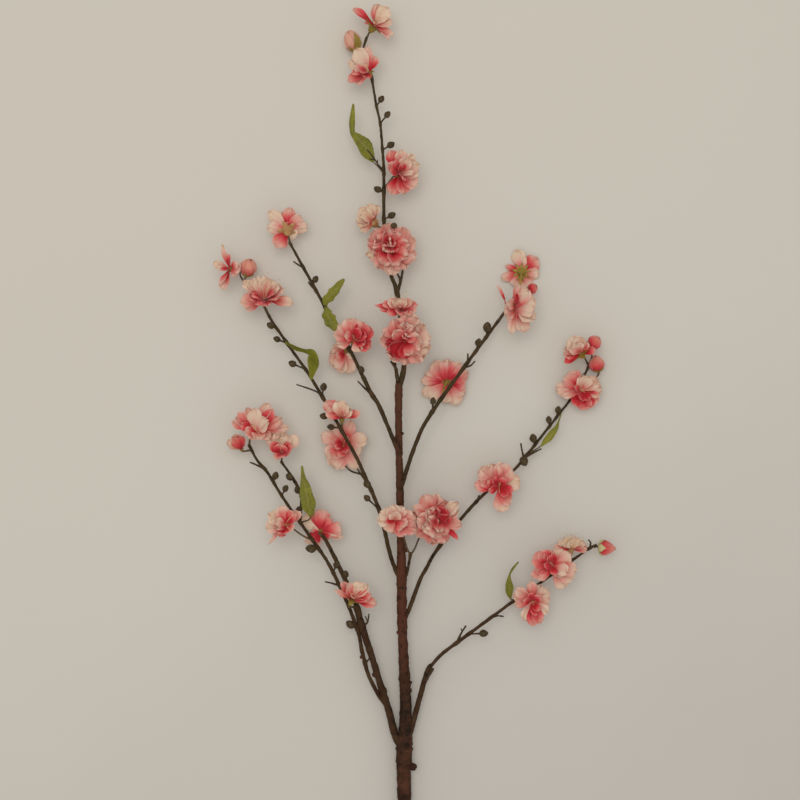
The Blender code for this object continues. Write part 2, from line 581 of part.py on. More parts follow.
clear_scene()
for details in BUDS.values():
    details["foot"] = True
build_wood()
for flower, details in FLOWERS.items():
    build_flower(flower, details, PETAL)
for bud, details in BUDS.items():
    if details["kind"] == "egg":
        build_egg(bud, details)
    else:
        build_flower(bud, details, BUD)
for leaf, details in LEAVES.items():
    build_leaf(leaf, details)
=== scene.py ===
"""Cherry blossom sprig: the looks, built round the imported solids.

Places are in millimetres on the plan that the solids use: seen from above, +Y from the cut end of
the stem to the tip, +Z up from the surface. on_frame() turns a point of the plan into the frame.
"""

import json
import math
import random

import bpy
from mathutils import Matrix, Vector, noise

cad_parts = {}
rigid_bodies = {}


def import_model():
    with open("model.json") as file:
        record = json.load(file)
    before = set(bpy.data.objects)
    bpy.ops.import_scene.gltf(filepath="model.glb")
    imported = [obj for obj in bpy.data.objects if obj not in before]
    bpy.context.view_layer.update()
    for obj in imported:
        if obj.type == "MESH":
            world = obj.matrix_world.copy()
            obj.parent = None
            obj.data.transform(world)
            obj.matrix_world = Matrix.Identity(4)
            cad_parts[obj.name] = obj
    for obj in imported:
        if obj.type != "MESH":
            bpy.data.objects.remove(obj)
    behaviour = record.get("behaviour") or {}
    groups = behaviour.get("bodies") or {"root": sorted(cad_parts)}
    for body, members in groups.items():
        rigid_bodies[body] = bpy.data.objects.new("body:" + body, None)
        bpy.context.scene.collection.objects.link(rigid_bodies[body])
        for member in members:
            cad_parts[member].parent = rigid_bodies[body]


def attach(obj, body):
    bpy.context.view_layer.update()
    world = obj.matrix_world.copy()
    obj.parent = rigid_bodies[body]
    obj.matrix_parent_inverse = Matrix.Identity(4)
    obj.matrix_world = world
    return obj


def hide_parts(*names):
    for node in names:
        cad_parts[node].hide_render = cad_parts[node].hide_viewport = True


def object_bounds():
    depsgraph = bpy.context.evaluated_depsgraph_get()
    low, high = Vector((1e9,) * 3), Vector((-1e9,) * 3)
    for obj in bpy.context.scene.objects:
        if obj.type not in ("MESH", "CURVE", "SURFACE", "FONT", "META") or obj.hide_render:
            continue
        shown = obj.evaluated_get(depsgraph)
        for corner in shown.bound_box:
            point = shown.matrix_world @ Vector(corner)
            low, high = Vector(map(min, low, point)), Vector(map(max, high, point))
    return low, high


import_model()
CAD_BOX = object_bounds()

MM = 0.001  # a millimetre in metres
PLAN_MIDDLE = (12.9, 327.5)  # the point of the plan that lies at the frame's origin

# Sizes, in millimetres.
CALYX_LENGTH = 6.0
CALYX_FOOT = 1.3  # radius of the cup under a flower where its stalk begins
CALYX_RIM = 2.9  # radius of the cup under its petals
STALK = 0.8  # radius of a flower's stalk
LEAF_STALK = 0.6
PETAL_THICKNESS = 0.24
LEAF_THICKNESS = 0.4
SURFACE = 0.15  # lowest height of the middle of a petal
NO_CEILING = 1000  # highest place of a petal that has room above it
DARK_BUD_LENGTH = 7.0
DARK_BUD_RADIUS = 2.8

# Steps, shares and directions. The last two are how far a flower's facing points up.
PETAL_ROWS = 8  # steps along a petal
PETAL_COLUMNS = 8  # steps across a petal
LEAF_ROWS = 44
LEAF_COLUMNS = 8
LEAF_RAGGED = 0.08  # how deep a leaf's edge is toothed
LEAF_CREASE = 0.3  # how far a leaf is folded up along its midrib
FRILL = 1.2  # how ruffled an outer petal is
HEART_BLUSH = 0.8  # how far the crimson runs up a small petal in the middle
STAMENS = (7, 0.45, 45)  # number, length as a share of the flower's radius, spread in degrees
TURNED_DOWN = -0.5  # below this it looks at the surface, and its stamens are short
STRAIGHT_DOWN = -0.98  # below this its stalk is as yellow as a calyx

# How a limb is rounded off: step along it, sides, growth at a ring, depth of its bark.
STEM_FINISH = dict(step=1.6, sides=20, growth=0.25, relief=1.5)
LIMB_FINISH = dict(step=1.8, sides=10, growth=0.4, relief=0.7)

# The camera looks straight down on this point of the plan from this height in metres.
CAMERA_OVER = (0, 360)
CAMERA_HEIGHT = 1.22

# Stem and limbs: points (x, y, z, radius) along the middle of the wood.
LIMBS = {
    "stem": (
        (6, -60, 6.6, 6.6), (3.6, 12, 7.2, 6.3), (3.5, 28, 8, 7.0), (3.9, 43, 9, 7.7),
        (4.6, 57, 9.6, 6.3), (5.2, 74, 10.2, 5.5), (5, 90, 11, 5.2), (2.2, 150, 14.4, 4.5),
        (1.4, 200, 17.6, 4.6), (0.9, 236, 19.6, 3.7), (-1, 324, 24, 3.2), (-1.3, 358, 25, 3.4),
        (-1, 377, 25.5, 3),
    ),
    "top": (
        (-1, 370, 25.5, 2.6), (2.7, 384, 25.5, 2.4), (4, 400, 25, 2.2), (2, 423, 23.5, 2.1),
        (-3, 458, 22, 2), (-7.6, 471, 20, 1.8), (-12, 492, 16.5, 1.7), (-14.4, 517, 16, 1.6),
        (-14.6, 566, 20, 1.3), (-16.2, 591, 20, 1.2), (-18, 610, 19, 1.15), (-21.6, 627, 17, 1.1),
        (-26, 654, 10.5, 1.05), (-30, 667, 7.5, 1), (-33, 679, 8.5, 1), (-30, 689, 12.5, 0.95),
    ),
    "limb_a": (
        (-1, 312, 23, 2), (-18, 353, 24, 1.9), (-26.4, 367, 23, 1.85), (-46, 407, 20, 1.6),
        (-57, 425, 19, 1.5), (-99.5, 502, 21.5, 1.1),
    ),
    "limb_b": (
        (1, 195, 17.5, 2), (-8.6, 220, 19, 1.9), (-18, 259, 22, 1.75), (-33, 295, 24.5, 1.7),
        (-43, 316, 24.5, 1.6), (-77, 375, 20, 1.45), (-96, 403, 18, 1.35), (-115, 430, 13.5, 1.2),
        (-124, 446, 8, 1.1), (-133, 461, 5.5, 1.05), (-138.5, 469, 9, 1),
    ),
    "limb_c": (
        (2, 44, 9.5, 3.6), (-4.6, 57, 10.4, 3.5), (-10, 78, 11.8, 3.4), (-15.5, 95, 13, 3.2),
        (-24.5, 125, 15, 3.0), (-34, 154, 15.7, 3.3), (-38.5, 171, 16, 2.9), (-41.5, 180, 16.2, 2),
        (-54, 208, 18.5, 2), (-66, 233, 23, 1.6), (-70, 239, 25.5, 1.3),
    ),
    "limb_c_left": (
        (-11.5, 82, 12, 2), (-20, 94, 13, 1.9), (-28.6, 112, 15, 1.8), (-34, 132, 15.6, 1.8),
        (-40, 157.5, 16.5, 1.7), (-61, 206.5, 20, 1.6), (-79, 235, 23.5, 1.5), (-104, 270, 20, 1.3),
        (-119, 294, 18.5, 1.3), (-129, 306, 17.5, 1.2), (-136.5, 320, 17.5, 1),
    ),
    "limb_c_mid": (
        (-90, 250, 22, 1.4), (-89, 273, 19, 1.35), (-96, 288.5, 18, 1.3), (-107.6, 305, 17, 1),
    ),
    "limb_d": (
        (0.5, 280, 22, 2), (13.3, 318.6, 24, 1.85), (26, 345, 25, 1.8), (61, 394, 20.5, 1.6),
        (93, 437, 10.5, 1.2), (103, 452, 9, 1), (109, 463, 10, 0.95),
    ),
    "limb_e": (
        (3, 158, 15, 1.9), (9.8, 175, 14.9, 1.9), (18, 197, 14.6, 1.75), (24.2, 208.5, 14.5, 1.7),
        (31.8, 222, 14, 1.65), (54, 251, 14, 1.45), (75.6, 274.5, 14, 1.4), (102, 296, 14, 1.3),
        (111, 305.5, 13.5, 1.3), (132, 331.5, 10, 1.15), (157, 362, 1.9, 1),
    ),
    "limb_e_tip": (
        (155, 360, 2.2, 1), (168.5, 383, 1.8, 0.95), (172, 391, 5, 0.9),
    ),
    "limb_f": (
        (2, 48, 9.5, 2.9), (9, 58.5, 10.5, 2.8), (24, 112.5, 14, 2.2), (29.7, 121.5, 15, 1.7),
        (39.6, 132, 16, 1.6), (62, 149, 18, 1.5), (105.5, 180, 13, 1.3), (118.5, 188.6, 12.5, 1.3),
        (171, 226, 17, 1), (177, 227.5, 17, 1),
    ),
    "limb_g": (
        (1, 194, 18, 1.4), (6, 203, 19, 1.3), (9.6, 223, 22, 1.1),
    ),
}

# Flowers: centre, facing, radius, turn in degrees, then the limb and the y where the stalk leaves
# it, with points on the way in by. low and high bound the petals' heights.
FLOWERS = {
    "flower_01": dict(at=(-23.5, 697, 18), to=(0.55, 0.6, 0.55), r=20, turn=15,
                      limb="top", y=687),
    "flower_03": dict(at=(-29, 660, 21.5), to=(-0.4, 0.4, 0.82), r=17.5, turn=0,
                      limb="top", y=650, low=11),
    "flower_06": dict(at=(-0.5, 562.5, 24), to=(0.68, 0.15, 0.72), r=21.5, turn=20,
                      limb="top", y=550),
    "flower_07": dict(at=(-25, 520.5, 20), to=(-0.6, 0.45, 0.66), r=17, turn=0,
                      limb="top", y=514),
    "flower_08": dict(at=(-8, 495, 25.5), to=(0.05, 0.05, 1), r=23.5, turn=10,
                      limb="top", y=490, low=21),
    "flower_10": dict(at=(0, 440, 31), to=(0, 0.93, 0.36), r=20.5, turn=18,
                      limb="top", y=436, low=27),
    "flower_11": dict(at=(4.5, 412, 33), to=(0.28, 0.12, 0.95), r=24, turn=0,
                      limb="top", y=408, low=28),
    "flower_12": dict(at=(-101, 512.5, 23), to=(-0.1, 0.45, -0.89), r=20.5, turn=0,
                      limb="limb_a", y=500, by=((-99.5, 505, 27),)),
    "flower_13": dict(at=(-41, 414, 27), to=(0.15, 0.35, 0.9), r=18, turn=40,
                      limb="limb_a", y=405, low=22.5),
    "flower_13_low": dict(at=(-50, 402, 9.5), to=(-0.3, -0.3, 0.9), r=16, turn=20,
                          limb="limb_a", y=432, by=((-58, 420, 7), (-50, 410, 2)), high=17),
    "flower_14": dict(at=(-121.5, 450, 24), to=(0.1, 0.8, 0.6), r=24, turn=10,
                      limb="limb_b", y=436, by=((-120.5, 440, 16),), low=11),
    "flower_15": dict(at=(-153, 478, 19), to=(-0.9, 0.1, 0.4), r=20, turn=36,
                      limb="limb_b", y=463, by=((-143.5, 470, 9),)),
    "flower_17": dict(at=(-52, 344, 28), to=(0, 0.85, 0.5), r=17, turn=10,
                      limb="limb_b", y=331, low=25),
    "flower_18": dict(at=(-51, 320, 9.5), to=(0, 0.1, 1), r=21.5, turn=25,
                      limb="limb_b", y=284, by=((-38, 296, 6), (-47, 312, 0.83)), high=20),
    "flower_19": dict(at=(-130, 337.5, 25), to=(0.1, 0.62, 0.78), r=24.5, turn=60,
                      limb="limb_c_left", y=319, by=((-134.5, 326, 19.5),)),
    "flower_21": dict(at=(-108, 315, 23), to=(0.05, 0.65, 0.76), r=16, turn=0,
                      limb="limb_c_mid", y=304),
    "flower_22": dict(at=(-102, 249, 31), to=(-0.45, 0.3, 0.84), r=19, turn=20,
                      limb="limb_c_left", y=234, by=((-88, 239, 25.5),), low=19),
    "flower_23": dict(at=(-71.5, 242, 19), to=(0.1, 0.2, -0.97), r=18, turn=50,
                      limb="limb_c", y=238),
    "flower_24": dict(at=(-42.5, 181.5, 28), to=(0.38, 0.84, 0.38), r=18, turn=30,
                      limb="limb_c", y=173, low=21),
    "flower_25": dict(at=(42.5, 376, 7.5), to=(0, 0, -1), r=22, turn=12,
                      limb="limb_d", y=362, by=((40, 372, 18),)),
    "flower_26": dict(at=(103.5, 442, 28), to=(0.62, 0, 0.78), r=22, turn=8,
                      limb="limb_d", y=431, by=((93, 438.5, 20),), low=13),
    "flower_27": dict(at=(110.5, 476.5, 4.8), to=(0.05, 0.12, -0.99), r=19, turn=80,
                      limb="limb_d", y=462),
    "flower_28": dict(at=(164.5, 368.5, 9.5), to=(0.1, 0.3, 0.95), r=21, turn=-24,
                      limb="limb_e", y=361, by=((161, 364, 1.3),)),
    "flower_29": dict(at=(163, 402, 17.5), to=(-0.55, 0.5, 0.67), r=17, turn=36,
                      limb="limb_e_tip", y=391),
    "flower_30": dict(at=(89, 282.5, 22.5), to=(0, 0, 1), r=23, turn=0,
                      limb="limb_e", y=280, low=17),
    "flower_31": dict(at=(33, 252, 28.5), to=(0.1, 0.15, 0.98), r=24, turn=30,
                      limb="limb_g", y=221, by=((13, 226, 22), (19, 239, 20.5), (29, 248, 19.8))),
    "flower_32": dict(at=(-4, 253, 34), to=(-0.3, 0.35, 0.88), r=15, turn=0,
                      limb="limb_g", y=221, by=((6.3, 227, 24.5), (3.2, 238, 26.2)), low=26),
    "flower_33": dict(at=(137, 212, 26), to=(0.05, -0.1, 0.99), r=20.5, turn=50,
                      limb="limb_f", y=203, low=18.5),
    "flower_34": dict(at=(155, 225, 13), to=(0.1, 0.93, 0.1), r=14, turn=0,
                      limb="limb_f", y=216, high=24),
    "flower_35": dict(at=(119, 179, 20.5), to=(0.15, -0.28, 0.95), r=18.5, turn=35,
                      limb="limb_f", y=184, low=15.5),
}

# Small petals round the middle of a flower, one row for each ring: how many, lean from the
# flower's axis at the foot and at the tip in degrees, length and half width as shares of the
# radius, turn in steps, height of the foot in millimetres.
HEARTS = {
    "none": (),
    "few": ((4, 30, 62, 0.42, 0.17, 0.3, 1.0),),
    "double": ((6, 36, 66, 0.58, 0.24, 0.3, 1.6), (4, 12, 40, 0.46, 0.2, 0.6, 2.4)),
}

# Coloured buds: foot, direction, length, and where the stalk leaves its limb, as for a flower. An
# egg is a closed bud with a radius, wide, and the half open one has a turn in degrees.
BUDS = {
    "bud_02": dict(at=(-40, 675.5, 11), to=(-0.3, 0.93, 0.2), r=19.5, kind="egg", wide=7.4,
                   limb="top", y=676),
    "bud_16": dict(at=(-139.5, 471.5, 14), to=(0.3, 0.9, 0.25), r=16.5, kind="egg", wide=7.6,
                   limb="limb_b", y=467),
    "bud_20": dict(at=(-143, 315.5, 17), to=(-0.5, 0.85, 0.2), r=14, kind="half", turn=0,
                   limb="limb_c_left", y=315),
    "bud_27": dict(at=(116, 459, 12.5), to=(0.6, 0.3, 0.4), r=9.5, kind="egg", wide=4.4,
                   limb="limb_d", y=452),
    "bud_29_left": dict(at=(171.5, 407, 16), to=(0.6, 0.75, 0.2), r=12.5, kind="egg", wide=6.2,
                        limb="limb_e_tip", y=391, by=((174, 400, 11),)),
    "bud_29_right": dict(at=(180, 385.5, 9), to=(-0.2, 0.95, 0.25), r=15.5, kind="egg", wide=6.8,
                         limb="limb_e_tip", y=381, by=((177, 380, 4),)),
    "bud_36": dict(at=(179, 227.5, 17), to=(0.97, -0.1, 0.1), r=15.5, kind="egg", wide=6.5,
                   limb="limb_f", y=227),
}

# Small dark buds on the wood: limb, y where they grow, the tip's offset from there, and size.
DARK_BUDS = (
    ("top", 625, (6, 8.5, 2), 1), ("top", 609, (8.5, 10, 2), 1), ("top", 585, (10.5, 6, 2), 1.1),
    ("top", 547, (-8.5, 4, 2), 1.1), ("top", 523, (10, 5, 2), 1.1), ("top", 512, (10, 3.5, 20), 1),
    ("limb_a", 464, (4, 7, 2), 1), ("limb_a", 379, (-3, 11, 3), 1),
    ("limb_b", 363, (2, 12, 2), 1.1), ("limb_b", 344, (-12.5, 2, 1), 1.1),
    ("limb_b", 335, (-11, 1, 1), 1), ("limb_b", 424, (-9, 5, 1), 1.1),
    ("limb_b", 411, (-12, 5, 1), 1), ("limb_b", 388, (-14, 6, 1), 1.1),
    ("limb_b", 262, (-12.5, 12, 1), 1), ("limb_b", 279, (-5, 9, 1), 1.2),
    ("limb_c_mid", 286, (-7, 7, 2), 1.1), ("limb_c_mid", 274, (-4, 8, 2), 1.1),
    ("limb_c_left", 205, (5, 10, 2), 1.1), ("limb_c", 195, (-1, 11, 2), 1),
    ("limb_c_left", 286, (3, 9, 2), 1.1), ("limb_c_left", 274, (5, 9, 2), 1),
    ("limb_c_left", 257, (6, 7, 2), 1), ("limb_c_left", 226, (-11, 1, 1), 1.4),
    ("limb_c_left", 153, (-9, 7, 1), 1.3),
    ("limb_d", 349, (1, 13, 2), 1), ("limb_d", 404, (3, 11, 2), 1.1),
    ("limb_d", 417, (1, 13, 2), 1.4), ("limb_e", 306, (2, -5, 3), 1.4),
    ("limb_e", 319, (-2, 10, 2), 1.2), ("limb_e", 336, (-1, 9, 2), 1),
    ("limb_e", 344, (2, 10, 2), 1), ("limb_f", 149, (17, 1, 1), 1.2),
    ("limb_f", 186, (9, 7, 1), 0.9),
)

# Foot of the small twig that stands on the fork above the stem's own end.
FORK_TWIG_FOOT = (-4.4, 391, 25.5)

# Bare twigs, thorns and broken ends: limb, y of the foot, radius, and offsets of the points after it.
TWIGS = (
    ("stem", 371, 1.9, ((-2, 13, 0), (-3, 18, 0.5), (-7, 24, 1))),
    ("stem", 385, 1.3, ((0, 4, 0.5), (3.5, 9, 1))),
    ("top", 456, 1.5, ((3.5, 11, 1), (5.5, 23, 1))),
    ("top", 456, 1.2, ((2.6, 11, 1), (0.4, 17.5, 1))),
    ("top", 566, 0.9, ((-5, 5, 4), (-9, 11, 6.5), (-15, 18, 7.5))),
    ("top", 566, 0.7, ((-5, 5, 4), (-8, 9, 5.5), (-13, 9.5, 7.5))),
    ("top", 566, 0.7, ((-5, 5, 4), (-5.5, 9.5, 5))),
    ("limb_f", 106, 2.0, ((5.5, 8, 0.5), (7.5, 11.5, 1))),
    ("top", 650, 1.0, ((-5, 6, -1),)),
    ("limb_a", 479, 1.0, ((-4, 2.2, 1), (-9, 5.5, 1))),
    ("limb_a", 459, 1.0, ((-3.6, 3, 1), (-7, 7.2, 1))),
    ("limb_a", 363, 1.0, ((-9, 9, 1), (-14, 14, 1))),
    ("limb_b", 363, 1.0, ((-6, 5, 1), (-23, 11, 1))),
    ("limb_b", 293, 1.0, ((-11, 3, 1), (-17, 8, 1))),
    ("limb_c_left", 193, 1.0, ((-6, 2, 0.5), (-12.5, 3.5, 1))),
    ("limb_c_left", 298, 1.0, ((-8, 4, 1), (-13, 6, 1))),
    ("limb_c", 156, 1.0, ((5, 3, 0.5), (6.5, 11, 1))),
    ("limb_c", 156, 0.8, ((5, 3, 0.5), (3.2, 9, 1))),
    ("limb_c_left", 122, 1.0, ((4, 5, 0.5),)),
    ("limb_c", 90, 1.0, ((2, 7, 0.5),)),
    ("limb_d", 394, 1.0, ((0, 8, 1),)),
    ("limb_d", 389, 1.0, ((6, 2, 1), (10, 6, 1))),
    ("limb_e", 307, 1.0, ((-2, 8, 1), (-3, 14, 1))),
    ("limb_e", 268, 1.0, ((2, 6, 1),)),
    ("limb_e", 308, 1.0, ((9, 5, 1), (15, 8, 1))),
    ("limb_e", 228, 1.0, ((-3, 5, 0.5),)),
    ("limb_f", 141, 1.2, ((3, 7, 0), (4.5, 10, 0.5), (8, 15.5, 1))),
    ("limb_f", 141, 0.8, ((3, 7, 0), (4.5, 10, 0.5), (3.5, 13, 1))),
    ("limb_f", 163, 1.0, ((6, 2, 0), (12, 1.5, 0))),
    ("limb_f", 182, 1.0, ((4, 2, 0), (8, 0, 0))),
    ("limb_f", 206, 1.0, ((-1, 5, 0),)),
    ("limb_f", 226, 1.0, ((1, 5, 0), (-1, 8, 1))),
)

# Leaves: limb and y where the stalk leaves it, points on its way, and points (x, y, z, half width)
# along the midrib. ragged is how deep the edge is toothed, and crease how far the leaf is folded.
LEAVES = {
    "leaf_top": dict(limb="top", y=564, by=((-19, 569, 21),), rib=(
        (-24, 574, 21.5, 1.2), (-27.5, 580, 23, 5.0), (-32, 588, 24, 6.2), (-38, 595, 24, 4.2),
        (-42.5, 600, 23, 2.2), (-43, 609, 22.5, 2.6), (-42.5, 618, 21, 2.0),
        (-42, 626.5, 20, 0.8))),
    "leaf_a": dict(limb="limb_a", y=443, by=(), ragged=0.2, rib=(
        (-67.6, 445, 23.5, 1.6), (-65.4, 449.6, 25.5, 3.4), (-60.6, 455, 27, 4.2),
        (-56.4, 460.6, 26.5, 3.4), (-53, 465, 25, 2.6), (-49.8, 468.4, 24, 0.9))),
    "leaf_a_low": dict(limb="limb_a", y=444, by=(), ragged=0.2, rib=(
        (-66, 443.4, 24, 1.5), (-65, 437, 25.5, 4.2), (-62.4, 431.2, 27, 5.3),
        (-59, 425.8, 27.5, 3.9), (-56.6, 420.6, 27.5, 0.9))),
    "leaf_b": dict(limb="limb_b", y=413, by=(), crease=0.8, rib=(
        (-103, 412, 19.5, 0.9), (-94, 406.5, 22, 1.7), (-85.5, 404, 24, 1.6), (-79, 401.5, 25, 3.6),
        (-77.5, 393, 24.5, 5.0), (-78.8, 385, 23, 2.9), (-80, 378, 22, 0.9))),
    "leaf_c": dict(limb="limb_c_left", y=250, by=((-82, 252.5, 25),), rib=(
        (-79.5, 256, 26.5, 1.6), (-81, 264, 27.5, 5.6), (-83, 272.5, 27.5, 6.0),
        (-85, 283, 26.5, 4.4), (-86.8, 291, 25, 2.2), (-88, 301, 23.5, 0.8))),
    "leaf_e": dict(limb="limb_e", y=311, by=((124, 316, 14.5),), rib=(
        (127.5, 318.5, 15.5, 0.8), (131.5, 323, 17, 2.5), (136.6, 329, 18, 3.1),
        (141, 335.2, 17.5, 1.9), (143, 340.5, 17.3, 0.8), (145.3, 347, 17, 0.5))),
    "leaf_f": dict(limb="limb_f", y=178, by=(), rib=(
        (99.5, 181, 17.5, 0.9), (98.5, 187, 20, 3.0), (98.1, 193.5, 22, 3.4),
        (98, 199.5, 22.8, 1.7), (98.6, 203.5, 23, 0.8), (101.3, 208.5, 22.5, 1.1),
        (106.5, 214.5, 22, 0.6))),
    "petal_loose": dict(limb="limb_d", y=443, by=(), ragged=0, rib=(
        (94.5, 451, 14, 0.8), (92.5, 455, 17, 1.4), (90, 459.5, 19.5, 1.4), (87.5, 463, 21, 0.7))),
}

# Lumps of old growth on the wood: limb, y on the plan, offset from its middle, and radius.
KNOTS = (
    ("stem", 27, (8.4, 0, 2), 3.3), ("stem", 108, (-3.6, 0, 2), 2.0), ("stem", 104, (4.2, 0, 1), 2.2),
    ("stem", 150, (-3.6, 0, 2), 1.8), ("stem", 225, (4.2, 0, 1), 2.0), ("stem", 262, (-3.2, 0, 2), 1.7),
    ("stem", 330, (3.0, 0, 1), 1.6), ("stem", 97, (4.4, 0, 1), 2.0), ("limb_c", 112, (-2, 0, 0), 2.6),
    ("limb_c_left", 128, (-1.6, 0, 0), 1.8), ("limb_c", 98, (2.4, 0, 0), 2.0),
)

